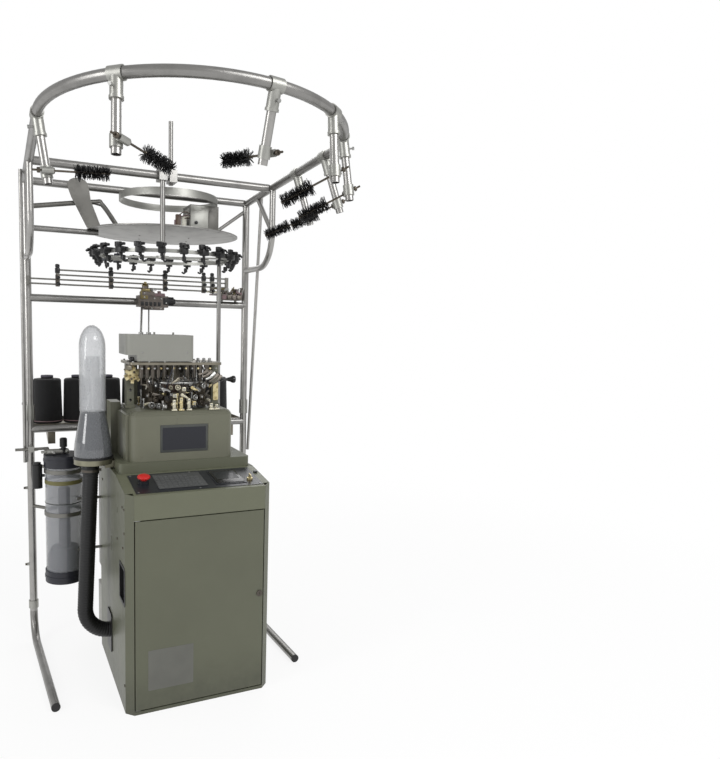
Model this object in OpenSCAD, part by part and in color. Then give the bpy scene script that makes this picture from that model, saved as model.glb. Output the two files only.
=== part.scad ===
// Circular sock knitting machine with its tube yarn stand, at real size in millimetres.
// Origin: centre of the cabinet's footprint on the floor. +X right, +Y to the rear, +Z up.

/* [Cabinet] */
// Width of the cabinet over its side walls
cab_w = 540; // [520:5:560]
// Depth of the cabinet from door face to rear wall
cab_d = 600; // [585:5:620]
// Height of the door's top edge
door_top = 710; // [690:5:730]
// Height of the header strip above the door
header_h = 90; // [80:2:100]
// Rise of the sloped console from front to rear
console_rise = 33; // [24:1:44]
// Depth of the console in plan
console_d = 212; // [206:1:218]
// Chamfer on the cabinet's front corners
corner_c = 27; // [20:1:32]
// Thickness of the sheet steel
sheet_t = 2; // [1.5:0.5:3]
// Thickness of the door over its folded edges
door_t = 20; // [18:1:22]
// Thickness of the machine bed plate
bed_t = 39; // [34:1:44]

/* [Knitting head] */
// Width of the head casting
cast_w = 402; // [396:2:408]
// Depth of the head casting
cast_d = 340; // [330:2:350]
// Height of the head casting
cast_h = 190; // [180:2:200]
// Wall of the head casting
cast_wall = 10; // [8:1:12]
// Outer diameter of the needle cylinder
cyl_d = 102; // [96:1:106]
// Number of needle slots in the cylinder
needle_count = 48; // [24:4:60]
// Number of needle selector units around the cylinder
selector_count = 6; // [4:1:7]
// Clear height between the casting and the top plate
head_h = 172; // [168:1:180]
// Thickness of the top plate
top_plate_t = 10; // [8:1:12]
// Length of the top cover box
top_box_w = 264; // [250:2:280]
// Depth of the top cover box
top_box_d = 190; // [170:2:200]
// Height of the top cover box
top_box_h = 102; // [90:2:115]

/* [Suction and filter] */
// Diameter of the clear suction tube
dome_d = 98; // [94:1:102]
// Height of the suction tube's top above the floor
dome_top = 1382; // [1340:2:1420]
// Diameter of the suction cone at its base
cone_d = 142; // [134:2:144]
// Outer diameter of the suction hose
hose_d = 60; // [54:1:64]
// Diameter of the filter canister
can_d = 150; // [140:2:156]
// Height of the filter canister over its caps
can_h = 540; // [520:5:560]

/* [Yarn stand] */
// Distance between the stand's posts, centre to centre
stand_w = 967; // [955:2:979]
// Outer diameter of the stand's tubes
tube_d = 32; // [30:1:34]
// Height of the stand's rear top corners
ring_z = 1968; // [1950:2:1990]
// Slope of the top ring, which rises towards its front, in degrees
ring_tilt = 2.8; // [1:0.2:3.6]
// Reach of the top ring in front of the posts
ring_reach = 1325; // [1300:5:1345]
// Height of the main cross bar
bar_z = 1490; // [1475:5:1500]
// Length of the drop tubes below the ring
drop_len = 206; // [195:1:217]
// Diameter of the drop tubes
drop_d = 27; // [25:1:28]
// Diameter of the curved side braces
brace_d = 26; // [22:1:28]
// Length of a bristle brush
brush_len = 103; // [93:2:115]
// Diameter of a bristle brush over its bristles
brush_d = 60; // [50:1:66]

/* [Yarn path] */
// Diameter of the guide ring
guide_ring_d = 524; // [504:4:540]
// Number of yarn guides on the guide ring
guide_count = 22; // [12:1:26]
// Diameter of the perforated disc
disc_d = 665; // [640:5:680]
// Diameter of the yarn hoop
hoop_d = 424; // [400:4:436]
// Number of yarn packages on the rear shelf
package_count = 7; // [3:1:7]
// Height of a yarn package
package_h = 205; // [150:5:225]

/* [Hidden] */

$fn = 48;

// Clearances
fit = 0.05;        // radial running clearance of a shaft in its bore
gap = 0.3;         // gap between curved faces that meet
eps = 1;           // overlap of a cutting tool past a face

// Cabinet
cab_x = cab_w / 2;
cab_y = cab_d / 2;
front_y = -cab_y;
jamb_x = cab_x - corner_c;
header_top = door_top + header_h;
deck_z = header_top + console_rise;
console_back_y = front_y + console_d;
console_a = atan(console_rise / console_d);
jamb_d = door_t + 4;
sill_h = 12;
door_gap = 3.5;
door_z0 = sill_h + 4;
hinge_r = 3;
hinge_inset = 6;
hinge_x = -jamb_x + door_gap + 5.5;
hinge_y = front_y + hinge_inset;
rear_box_d = 110;
rear_box_z0 = 330;
rear_low_d = 140;
rear_low_h = 240;
lock_x = jamb_x - 17;
lock_z = 385;
lock_r = 9;

// Bed plate and head
bed_top = deck_z + bed_t;
bed_y0 = console_back_y;
bed_y1 = cab_y - 8;
bed_x = cab_x - 14;
cast_x = -11;
cast_y0 = bed_y0 + 8;
cast_top = bed_top + cast_h;
head_x = cast_x + 6;
head_y = cast_y0 + cast_d / 2 + 10;
plate_z = cast_top + head_h;
box_z = plate_z + top_plate_t + 4;
box_x0 = head_x - 208;
box_y0 = head_y - 105;
sleeve_r = 48;
pulley_r = 75;
pulley_z = bed_top + 22;
pulley_h = 20;
motor_r = 25;
motor_x = head_x + 140;
motor_shaft_r = 8;
belt_t = 3;
delivery_r = 35;
delivery_z = 174;
hose_y = 55;
cam_top = cast_top + 46;
cyl_top = cam_top + 8;
dial_z = cyl_top + 4;
column_lx = head_x - 195;
column_rx = head_x + 150;
column_y = head_y - 30;
handle_z = cast_top + 106;
finger_z = plate_z - 30;
finger_pin_r = 3;

// Suction and filter
tube_x = -cab_x - 71;
cone_x = tube_x + 11;
ring_z0 = 864;
cone_z = ring_z0 + 20;
neck_z = cone_z + 174;
neck_r = 45;
throat_r = 27;
hose_bend = 96;
hose_lean = 25;
hose_turn_z = delivery_z + hose_bend;
can_x = -cab_x - 143;
can_y = 340;
can_z = 302;
cap_h = 50;
can_top = can_z + can_h;

// Stand
stand_cx = -51;
post_y = 475;
tube_r = tube_d / 2;
ring_r = stand_w / 2;
ring_cy = post_y - ring_reach + ring_r;
post_lx = stand_cx - ring_r;
post_rx = stand_cx + ring_r;
bend_r = 108;
floor_y0 = -165;
low_tube_z = ring_z;
high_tube_y = 165;
high_tube_z = ring_z + (post_y - high_tube_y) * tan(ring_tilt);
shelf_z = 931;
foot_toe = [3.4, 1];
brace_r = brace_d / 2;
brace_y = 145;
brace_bend = 140;
brace_z = ring_z - 313;
brace_top_z = ring_z + (post_y - brace_y) * tan(ring_tilt);
drop_r = drop_d / 2;
clamp_t = 4;
sleeve_len = 66;
cross_up = 34;
cross_off = drop_r + 12;
arm_z = 850;
arm_y = post_y - 34;
stem_r = 3.5;
brush_start = 78;

// Yarn path
gring_x = -34;
gring_y = 120;
gring_z = 1651;
gring_r = guide_ring_d / 2;
gband_h = 12;
gband_t = 4;
pipe_r = 10;
pipe_x = -43;
pipe_y = high_tube_y - tube_r - pipe_r - gap;
disc_x = 41;
disc_y = 482;
disc_z = 1790;
disc_t = 4;
disc_r = disc_d / 2;
hoop_x = 45;
hoop_y = 400;
hoop_h = 30;
hoop_z = low_tube_z - tube_r - hoop_h - 4;
shelf_y0 = post_y + tube_r + 8;
shelf_d = 250;
package_pitch = 130;
feeder_y = post_y - tube_r - 34;

// Drop tubes: [angle round the ring or 0, place along Y on a straight side or 0, side, lean, stem azimuth, stem dip]
DROPS = [
  [0, -346, -1, -8, 3, -4],
  [229.5, 0, 0, 2, 35, 9],
  [280, 0, 0, -19.5, 117, -4],
  [310.5, 0, 0, 2, 147, 26],
  [338, 0, 0, 6.5, 153, 27],
  [0, -342, 1, 18.5, 155, 25],
  [0, -98, 1, 17.5, 159, 24]
];

// Points of a rectangle with round corners, centred on the origin
function rrect(w, d, r, n = 6) = [
  for (c = [0:3]) for (i = [0:n])
    let (a = 90 * c + 90 * i / n, sx = (c == 0 || c == 3) ? 1 : -1, sy = c < 2 ? 1 : -1)
      [sx * (w / 2 - r) + r * cos(a), sy * (d / 2 - r) + r * sin(a)]
];

// Outline of a belt round two pulleys on one line, radii r1 and r2, centre distance c along +X
function belt(r1, r2, c, n = 24) = let (b = acos((r1 - r2) / c)) concat(
  [for (i = [0:n]) let (a = b + (360 - 2 * b) * i / n) [r1 * cos(a), r1 * sin(a)]],
  [for (i = [0:n]) let (a = -b + 2 * b * i / n) [c + r2 * cos(a), r2 * sin(a)]]
);

function unit(v) = v / norm(v);

// Direction of a brush stem from its azimuth and dip
function stem_dir(d) = [cos(d[5]) * cos(d[4]), cos(d[5]) * sin(d[4]), -sin(d[5])];

// Plan of the cabinet with its chamfered front corners, set in by t
module cab_plan(t = 0) {
  c = corner_c - t * tan(22.5);
  x = cab_x - t;
  y0 = front_y + t;
  y1 = cab_y - t;
  polygon([[-x, y0 + c], [-x + c, y0], [x - c, y0], [x, y0 + c], [x, y1], [-x, y1]]);
}

module tube_along_x(x0, x1, y, z, r) translate([x0, y, z]) rotate([0, 90, 0]) cylinder(r = r, h = x1 - x0);
module tube_along_y(x, y0, y1, z, r) translate([x, y0, z]) rotate([-90, 0, 0]) cylinder(r = r, h = y1 - y0);
module tube_along_z(x, y, z0, z1, r) translate([x, y, z0]) cylinder(r = r, h = z1 - z0);

// Round bar from point p to point q
module bar(p, q, r) {
  v = q - p;
  translate(p) rotate([0, acos(v[2] / norm(v)), atan2(v[1], v[0])]) cylinder(r = r, h = norm(v));
}

// Box from its lowest corner to its highest
module block(a, b) translate(a) cube(b - a);

// Places children on the sloped console: x across, y up the slope, z out of the panel
module on_console() translate([0, front_y, header_top]) rotate([console_a, 0, 0]) children();

// Tilts children with the top ring about its rear ends
module on_ring() translate([0, post_y, ring_z]) rotate([-ring_tilt, 0, 0]) translate([0, -post_y, -ring_z]) children();

// Turns children about a post's axis, as its floor tube toes in or out
module at_foot(s) translate([stand_cx + s * ring_r, post_y, 0]) rotate([0, 0, foot_toe[s < 0 ? 0 : 1]])
  translate([-stand_cx - s * ring_r, -post_y, 0]) children();

// Places children in the frame of drop tube i: x along the ring tube, z up the leaning drop
module at_drop(i) {
  d = DROPS[i];
  if (d[2] == 0)
    translate([stand_cx + ring_r * cos(d[0]), ring_cy + ring_r * sin(d[0]), ring_z])
      rotate([0, 0, d[0] + 90]) rotate([-d[3], 0, 0]) children();
  else
    translate([stand_cx + d[2] * ring_r, d[1], ring_z])
      rotate([0, 0, d[2] * 90]) rotate([-d[3], 0, 0]) children();
}

// Outward direction, ring point and axis of a drop tube, before the ring's tilt
function drop_out(d) = d[2] == 0 ? [cos(d[0]), sin(d[0]), 0] : [d[2], 0, 0];
function drop_top(d) = d[2] == 0
  ? [stand_cx + ring_r * cos(d[0]), ring_cy + ring_r * sin(d[0]), ring_z]
  : [stand_cx + d[2] * ring_r, d[1], ring_z];
function drop_axis(d) = -cos(d[3]) * [0, 0, 1] + sin(d[3]) * drop_out(d);
function cross_at(d) = drop_top(d) + (drop_len - cross_up) * drop_axis(d);
// Offset of the stem from the drop tube, square to both
function cross_side(d) = unit(cross(drop_axis(d), stem_dir(d)));

module cabinet_shell() color([0.42, 0.43, 0.37]) {
  difference() {
    linear_extrude(deck_z) cab_plan();
    translate([0, 0, sheet_t]) linear_extrude(deck_z - 2 * sheet_t) cab_plan(sheet_t);
    block([-cab_x + sheet_t, bed_y0 - 24, deck_z - 3 * sheet_t], [cab_x - sheet_t, bed_y0 + 4, deck_z + eps]);
    block([head_x - 60, head_y - 80, door_top], [motor_x + 72, head_y + 80, deck_z + eps]);
    block([-jamb_x, front_y - eps, sill_h], [jamb_x, front_y + corner_c, deck_z + eps]);
    translate([-cab_w, front_y, header_top]) rotate([console_a, 0, 0]) translate([0, -20, 0])
      cube([2 * cab_w, console_d + 50, deck_z]);
    block([-cab_x - eps, 15, 510], [-cab_x + sheet_t + eps, 22, 572]);
    block([-cab_x - eps, -126, 700], [-cab_x + sheet_t + eps, -120, 720]);
    translate([-cab_x - eps, hose_y, delivery_z]) rotate([0, 90, 0]) cylinder(r = hose_d / 2 + gap, h = sheet_t + 2 * eps);
    block([-cab_x - eps, handle_y0, handle_z0], [-cab_x + sheet_t + eps, handle_y1, handle_z1]);
  }
  // Jambs, which turn in from the chamfers beside the door
  for (s = [-1, 1])
    block([min(s * jamb_x, s * (jamb_x + sheet_t)), front_y + sheet_t, sheet_t],
      [max(s * jamb_x, s * (jamb_x + sheet_t)), front_y + jamb_d, header_top - eps]);
  // Sill behind the door's foot
  block([-jamb_x, front_y, 0], [jamb_x, front_y + jamb_d, sill_h]);
}

handle_y0 = -268 + (300 - cab_y);
handle_y1 = handle_y0 + 96;
handle_z0 = 400;
handle_z1 = 530;

module side_handle() color([0.09, 0.09, 0.1]) {
  w = handle_y1 - handle_y0 - 2 * gap;
  h = handle_z1 - handle_z0 - 2 * gap;
  difference() {
    translate([-cab_x - 2, (handle_y0 + handle_y1) / 2, (handle_z0 + handle_z1) / 2]) rotate([0, 90, 0]) union() {
      linear_extrude(2 - 0.01) polygon(rrect(h + 14, w + 14, 12));
      linear_extrude(26) polygon(rrect(h, w, 8));
    }
    translate([-cab_x - 2 - eps, (handle_y0 + handle_y1) / 2, (handle_z0 + handle_z1) / 2]) rotate([0, 90, 0])
      linear_extrude(24) polygon(rrect(h - 8, w - 8, 6));
  }
}

module rear_boxes() color([0.62, 0.63, 0.61]) {
  x = cab_x - 8;
  difference() {
    block([-x, cab_y, rear_box_z0], [x, cab_y + rear_box_d, deck_z - 10]);
    for (i = [0:7]) block([-x * 0.6, cab_y + rear_box_d - 3, rear_box_z0 + 60 + 14 * i],
      [x * 0.6, cab_y + rear_box_d + eps, rear_box_z0 + 65 + 14 * i]);
  }
  block([-x, cab_y, 20], [x, cab_y + rear_low_d, rear_low_h]);
}

module console() color([0.43, 0.44, 0.38]) {
  w = jamb_x - gap;
  x = cab_x - sheet_t - gap;
  block([-w, front_y, door_top + 2], [w, front_y + sheet_t, header_top]);
  block([-w, front_y, door_top + 2], [w, front_y + 16, door_top + 2 + sheet_t]);
  difference() {
    on_console() translate([-x, 0, -sheet_t]) cube([2 * x, console_d / cos(console_a) - 1, sheet_t]);
    for (s = [-1, 1]) translate([s * (cab_x - sheet_t - gap), front_y + corner_c, 0]) rotate([0, 0, s * -45])
      block([min(0, s * 60), -60, door_top], [max(0, s * 60), 60, deck_z + 20]);
    for (s = [-1, 1]) block([min(s * w, s * cab_w), front_y - 5, door_top], [max(s * w, s * cab_w), front_y + corner_c, deck_z]);
  }
}

module console_fascia() {
  on_console() {
    color([0.1, 0.12, 0.17]) difference() {
      translate([-cab_x + 38, 16, 0]) cube([2 * cab_x - 68, 178, 1.5]);
      translate([estop_u, estop_v, -eps]) cylinder(r = 11 + fit, h = 4);
      translate([key_u, key_v, -eps]) cylinder(r = 6 + fit, h = 4);
    }
    color([0.45, 0.46, 0.5]) translate([-145, 42, 1.5]) cube([178, 136, 1]);
    color([0.2, 0.22, 0.26]) translate([66, 40, 1.5]) cube([118, 138, 2]);
    color([0.85, 0.85, 0.82]) translate([estop_u, estop_v, 1.5]) difference() {
      cylinder(r = 19, h = 14);
      translate([0, 0, -eps]) cylinder(r = 11 + fit, h = 20);
    }
    // Bumper at the console's right edge
    color([0.35, 0.18, 0.12]) translate([cab_x - 16, 138, 0]) cylinder(r = 8, h = 7);
  }
}

estop_u = -189;
estop_v = 105;
key_u = 205;
key_v = 68;

module estop_button() color([0.75, 0.12, 0.12]) on_console() translate([estop_u, estop_v, 1.5]) {
  translate([0, 0, 6]) cylinder(r = 11, h = 16);
  rotate_extrude() polygon(concat([[0, 21]], [[17, 21], [23, 23]],
    [for (i = [0:8]) [23 * cos(90 * i / 8), 27 + 8 * sin(90 * i / 8)]], [[0, 35]]));
}

module key_switch() color([0.72, 0.6, 0.34]) on_console() translate([key_u, key_v, 1.5]) {
  translate([0, 0, gap]) cylinder(r = 11, h = 7);
  translate([0, 0, -1.4]) cylinder(r = 6, h = 5);
  translate([-2, -10, 7]) cube([4, 20, 14]);
}

module bed_plate() color([0.45, 0.46, 0.4]) difference() {
  translate([0, (bed_y0 + bed_y1) / 2, deck_z]) linear_extrude(bed_t) polygon(rrect(2 * bed_x, bed_y1 - bed_y0, 14));
  translate([head_x, head_y, deck_z - eps]) cylinder(r = delivery_r + gap, h = bed_t + 2 * eps);
  translate([motor_x, head_y, deck_z - eps]) cylinder(r = motor_shaft_r + 4, h = bed_t + 2 * eps);
}

module front_door() color([0.4, 0.4, 0.33]) {
  x = jamb_x - door_gap;
  z1 = door_top - 2;
  difference() {
    block([-x, front_y, door_z0], [x, front_y + door_t, z1]);
    block([-x + sheet_t, front_y + sheet_t, door_z0 + sheet_t], [x - sheet_t, front_y + door_t + eps, z1 - sheet_t]);
    translate([lock_x, front_y - eps, lock_z]) rotate([-90, 0, 0]) cylinder(r = lock_r + fit, h = door_t);
    hinge_bores();
  }
  // Folded rims that stiffen the door
  for (z = [door_z0, z1 - 14]) block([-x + 22, front_y + door_t - sheet_t, z], [x, front_y + door_t, z + 14]);
  // Bushes that turn on the hinge pins
  difference() {
    for (z = [door_z0, z1 - 30]) block([hinge_x - 5, front_y + 0.5, z], [hinge_x + 8, front_y + 13, z + 30]);
    hinge_bores();
  }
}

module hinge_bores() {
  translate([hinge_x, hinge_y, door_z0 - eps]) cylinder(r = hinge_r + fit, h = 27);
  translate([hinge_x, hinge_y, door_top - 28]) cylinder(r = hinge_r + fit, h = 30);
}

module hinge_pins() color([0.7, 0.7, 0.7]) {
  for (s = [0, 1]) {
    z = s == 0 ? sill_h : door_top - 0.5;
    block([-jamb_x, hinge_y - hinge_r, z], [hinge_x + 12, front_y + jamb_d, z + 2.5]);
  }
  tube_along_z(hinge_x, hinge_y, sill_h, door_z0 + 24, hinge_r);
  tube_along_z(hinge_x, hinge_y, door_top - 26, door_top, hinge_r);
}

module door_lock() color([0.75, 0.75, 0.73]) difference() {
  union() {
    tube_along_y(lock_x, front_y - 1, front_y + door_t + 9, lock_z, lock_r);
    tube_along_y(lock_x, front_y - 3, front_y - 0.01, lock_z, lock_r + 3);
    block([lock_x - 7, front_y + door_t + 8, lock_z - 7], [lock_x + 7, front_y + door_t + 11, lock_z + 30]);
  }
  block([lock_x - 1, front_y - 3 - eps, lock_z - 4], [lock_x + 1, front_y - 1, lock_z + 4]);
}

module drive_motor() color([0.25, 0.26, 0.28]) {
  difference() {
    union() {
      translate([motor_x, head_y, deck_z - 190]) linear_extrude(176) polygon(rrect(120, 120, 22));
      translate([motor_x, head_y, deck_z - 14]) linear_extrude(14) polygon(rrect(130, 130, 6));
    }
    for (s = [-1, 1]) for (i = [-3:3])
      block([motor_x + s * 62 - 4, head_y + 12 * i - 3, deck_z - 180], [motor_x + s * 62 + 4, head_y + 12 * i + 3, deck_z - 30]);
    translate([motor_x, head_y, deck_z - 40]) cylinder(r = motor_shaft_r + fit, h = 60);
  }
}

module motor_pulley() color([0.6, 0.61, 0.62]) {
  tube_along_z(motor_x, head_y, deck_z - 39, pulley_z + pulley_h + 4, motor_shaft_r);
  toothed_wheel(motor_x, motor_r, 16);
}

// Toothed belt wheel with its rims
module toothed_wheel(x, r, teeth) translate([x, head_y, pulley_z]) difference() {
  cylinder(r = r, h = pulley_h);
  for (i = [0:teeth - 1]) rotate([0, 0, 360 * i / teeth]) translate([r, 0, -eps]) cylinder(r = 2, h = pulley_h + 2 * eps, $fn = 8);
}

module drive_belt() color([0.08, 0.08, 0.08]) translate([head_x, head_y, pulley_z + 2]) difference() {
  linear_extrude(pulley_h - 4) polygon(belt(pulley_r + gap + belt_t, motor_r + gap + belt_t, motor_x - head_x));
  translate([0, 0, -eps]) linear_extrude(pulley_h) polygon(belt(pulley_r + gap + 0.8, motor_r + gap + 0.8, motor_x - head_x));
}

// Path of the delivery pipe: down from the cylinder and out to the hose
module delivery_run(r, over) {
  tube_along_z(head_x, head_y, delivery_z - r, bed_top + 6 + over, r);
  bar([head_x, head_y, delivery_z], [-cab_x - 20, hose_y, delivery_z], r - 1);
}

module delivery_pipe() color([0.6, 0.62, 0.63]) difference() {
  delivery_run(delivery_r, 0);
  delivery_run(delivery_r - 2, eps);
  block([-cab_x - 80, hose_y - 90, delivery_z - 60], [-cab_x + sheet_t, hose_y + 90, delivery_z + 60]);
}

module head_casting() color([0.47, 0.48, 0.41]) difference() {
  cy = cast_y0 + cast_d / 2;
  union() {
    difference() {
      union() {
        for (c = [[0, cast_h - 16, 0], [cast_h - 16, 6, 3], [cast_h - 10, 5, 7], [cast_h - 5, 3, 12], [cast_h - 2, 2, 18]])
          translate([cast_x, cy, bed_top + c[0]]) linear_extrude(c[1]) polygon(rrect(cast_w - 2 * c[2], cast_d - 2 * c[2], 34 - c[2] / 2));
        // Side cheek on the left, and the taller one behind it
        block([cast_x - cast_w / 2 - 12, cast_y0 + 40, bed_top], [cast_x - cast_w / 2 + 4, cast_y0 + cast_d - 40, cast_top - 14]);
        block([cast_x - cast_w / 2 - 38, cast_y0 + cast_d - 116, bed_top], [cast_x - cast_w / 2 + 2, cast_y0 + cast_d - 14, cast_top + 16]);
      }
      translate([cast_x, cy, bed_top - eps]) linear_extrude(cast_h - 12 + eps)
        polygon(rrect(cast_w - 2 * cast_wall, cast_d - 2 * cast_wall, 24));
    }
    // Bearing boss of the needle cylinder
    tube_along_z(head_x, head_y, cast_top - 72, cast_top - 11, sleeve_r + 12);
  }
  translate([head_x, head_y, bed_top]) cylinder(r = sleeve_r + fit, h = cast_h + eps);
  // Recess of the blank nameplate
  block([cast_x - 92, cast_y0 - eps, bed_top + 30], [cast_x + 98, cast_y0 + 2, bed_top + 139]);
}

module needle_cylinder() color([0.68, 0.69, 0.7]) difference() {
  union() {
    tube_along_z(head_x, head_y, pulley_z - 6, cyl_top, sleeve_r);
    tube_along_z(head_x, head_y, cast_top + gap, cyl_top, cyl_d / 2);
    toothed_wheel(head_x, pulley_r, 48);
  }
  tube_along_z(head_x, head_y, pulley_z - 7, cyl_top + eps, delivery_r + 5);
  translate([head_x, head_y, 0]) for (i = [0:needle_count - 1]) rotate([0, 0, 360 * i / needle_count])
    block([cyl_d / 2 - 2, -0.9, cast_top + 14], [cyl_d / 2 + 2, 0.9, cyl_top + eps]);
}

module cam_ring() color([0.3, 0.28, 0.27]) translate([head_x, head_y, cast_top]) difference() {
  union() {
    cylinder(r = cyl_d / 2 + 38, h = 16);
    cylinder(r = cyl_d / 2 + 22, h = cam_top - cast_top);
  }
  translate([0, 0, -eps]) cylinder(r = cyl_d / 2 + 1, h = 80);
  for (i = [0:7]) rotate([0, 0, 22.5 + 45 * i]) translate([cyl_d / 2 + 14, -8, 20]) cube([20, 16, 40]);
}

module dial() color([0.36, 0.24, 0.17]) translate([head_x, head_y, dial_z]) difference() {
  union() {
    cylinder(r = cyl_d / 2 - 3, h = 10);
    translate([0, 0, 10]) cylinder(r = cyl_d / 2 + 9, h = 8);
    translate([0, 0, 18]) cylinder(r = cyl_d / 2 + 3, h = 12);
    translate([0, 0, 30]) cylinder(r = 30, h = 8);
  }
  for (i = [0:35]) rotate([0, 0, 10 * i]) translate([cyl_d / 2 + 9, 0, 9]) cylinder(r = 2, h = 12, $fn = 6);
  translate([0, 0, 20]) cylinder(r = 12 + fit, h = 30);
}

// One needle selector: a stack of levers in a body, facing the cylinder
module selector() {
  difference() {
    translate([0, -13, 0]) cube([34, 26, 88]);
    for (i = [0:6]) translate([-eps, -9, 20 + 9 * i]) cube([12, 18, 5]);
    translate([40, 0, 60]) rotate([0, -90, 0]) cylinder(r = 5, h = 16);
  }
  for (i = [0:6]) translate([-14, -2, 21 + 9 * i]) cube([28, 4, 3]);
}

selector_r = cyl_d / 2 + 44;

module selector_units() color([0.22, 0.21, 0.2])
  for (i = [0:selector_count - 1]) translate([head_x, head_y, cast_top]) rotate([0, 0, 360 * (i + 0.5) / selector_count])
    translate([selector_r, 0, 0]) selector();

module top_plate() color([0.5, 0.5, 0.47]) difference() {
  union() {
    translate([head_x - 13, head_y, plate_z]) linear_extrude(top_plate_t) polygon(rrect(366, 216, 16));
    // Dial shaft housing that hangs from the plate
    tube_along_z(head_x, head_y, dial_z + 39, plate_z + eps, 24);
    tube_along_z(head_x, head_y, dial_z + 21, plate_z, 12);
    // Lugs and pins of the yarn fingers
    for (s = [-1, 1]) for (y = [-52, 46])
      block([head_x + s * 88 - 6, head_y + y, finger_z - 8], [head_x + s * 88 + 6, head_y + y + 6, plate_z + eps]);
    for (s = [-1, 1]) tube_along_y(head_x + s * 88, head_y - 50, head_y + 50, finger_z, finger_pin_r);
    // Seats of the cover box
    for (x = [box_x0 + 50, box_x0 + 200]) for (y = [box_y0 + 30, box_y0 + top_box_d - 40])
      block([x, y, plate_z + top_plate_t - eps], [x + 14, y + 14, box_z]);
  }
  for (x = [-150, -110, 70, 110]) for (y = [-80, 80]) tube_along_z(head_x + x, head_y + y, plate_z - eps, plate_z + 20, 5);
}

// One bank of yarn fingers on its hub, reaching down towards the dial
module fingers(s) {
  difference() {
    union() {
      tube_along_y(0, -45, 45, 0, 7);
      for (i = [0:5]) translate([0, -42 + 15.6 * i, 0]) rotate([90, 0, 0]) mirror([s < 0 ? 0 : 1, 0, 0])
        translate([0, 0, -5]) linear_extrude(4)
          polygon([[-4, 5], [6, 6], [14, 0], [22, -26], [29, -36], [27, -38], [18, -30], [8, -8], [-6, -4]]);
    }
    tube_along_y(0, -46, 46, 0, finger_pin_r + fit);
  }
}

module finger_set_left() color([0.55, 0.54, 0.5]) translate([head_x - 88, head_y, finger_z]) fingers(-1);
module finger_set_right() color([0.55, 0.54, 0.5]) translate([head_x + 88, head_y, finger_z]) fingers(1);

module top_box() color([0.57, 0.57, 0.55]) difference() {
  union() {
    translate([box_x0 + top_box_w / 2, box_y0 + top_box_d / 2, box_z]) linear_extrude(top_box_h) polygon(rrect(top_box_w, top_box_d, 22));
    for (x = [118, 193]) tube_along_z(box_x0 + x, box_y0 + 60, box_z + top_box_h - eps, box_z + top_box_h + 10, 4);
  }
  block([box_x0 - eps, box_y0 - eps, box_z - eps], [box_x0 + 40, box_y0 + top_box_d + eps, box_z + 24]);
}

module head_columns() color([0.5, 0.5, 0.42]) difference() {
  union() {
    for (x = [column_lx, column_rx]) {
      block([x, column_y, cast_top], [x + 28, column_y + 46, plate_z]);
      block([x - 5, column_y - 5, cast_top], [x + 33, column_y + 51, cast_top + 10]);
    }
    for (x = [head_x - 150, head_x + 115]) block([x, head_y + 88, cast_top], [x + 20, head_y + 104, plate_z]);
  }
  translate([column_rx - eps, column_y + 20, handle_z]) rotate([0, 90, 0]) cylinder(r = 5 + fit, h = 40);
  for (z = [30, 70]) tube_along_y(column_lx + 14, column_y - eps, column_y + 60, cast_top + z, 6);
}

// Brass cam plate with its lobes and holes
module cam_lobe_plate() difference() {
  union() {
    circle(r = 20);
    for (a = [20, 80, 150, 210, 265, 320]) rotate(a) translate([18, -6]) square([14, 12]);
  }
  for (a = [50, 180, 300]) rotate(a) translate([11, 0]) circle(r = 3.5);
}

module brass_plates() color([0.8, 0.7, 0.42]) {
  translate([column_lx + 19, column_y, cast_top + 138]) rotate([90, 0, 0]) linear_extrude(4) cam_lobe_plate();
  translate([column_lx + 19, column_y - 4, cast_top + 138]) rotate([90, 0, 0]) cylinder(r = 8, h = 22);
  translate([column_lx + 19, column_y - 26, cast_top + 130]) rotate([90, 0, 0]) linear_extrude(4) cam_lobe_plate();
  translate([column_rx + 16, column_y, cast_top + 60]) rotate([90, 0, 0]) linear_extrude(5) polygon(rrect(22, 76, 6));
}

module lift_handle() color([0.07, 0.07, 0.07]) translate([column_rx, column_y + 20, handle_z]) rotate([0, 90, 0]) {
  translate([0, 0, -6]) cylinder(r = 5, h = 52);
  rotate_extrude() polygon([[0, 40], [7, 40], [8, 47], [5.5, 56], [6.5, 72], [10, 86], [15, 97], [15.5, 104],
    [13, 108], [0, 108]]);
}

module air_cylinders() color([0.72, 0.73, 0.74]) for (c = [[-150, 22, 5, 9], [30, 26, 4, 10]]) for (i = [0:c[2] - 1]) {
  x = head_x + c[0] + c[1] * i;
  tube_along_z(x, head_y - 92, plate_z - 50, plate_z, c[3]);
  tube_along_z(x, head_y - 92, plate_z - 78, plate_z - 49, 3);
}

// Clear tube with its long domed end and the throat tube inside it
module suction_dome() color([0.8, 0.84, 0.86, 0.45]) translate([cone_x, hose_y, 0]) {
  r = dome_d / 2;
  top_h = 84;
  rotate_extrude() polygon(concat(
    [[throat_r + 1, neck_z], [r, neck_z], [r, dome_top - top_h]],
    [for (i = [1:8]) [r * cos(10 * i), dome_top - top_h + top_h * sin(10 * i)]],
    [[0, dome_top], [0, dome_top - 3]],
    [for (i = [8:-1:1]) [(r - 3) * cos(10 * i), dome_top - top_h + (top_h - 3) * sin(10 * i)]],
    [[r - 3, dome_top - top_h], [r - 3, neck_z + 4], [neck_r - 6, neck_z + 6], [throat_r + 3, neck_z + 50],
     [throat_r, neck_z + 66], [throat_r, dome_top - 118], [throat_r - 2.5, dome_top - 118],
     [throat_r - 2.5, neck_z + 64], [throat_r + 1, neck_z + 40]]));
}

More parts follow.
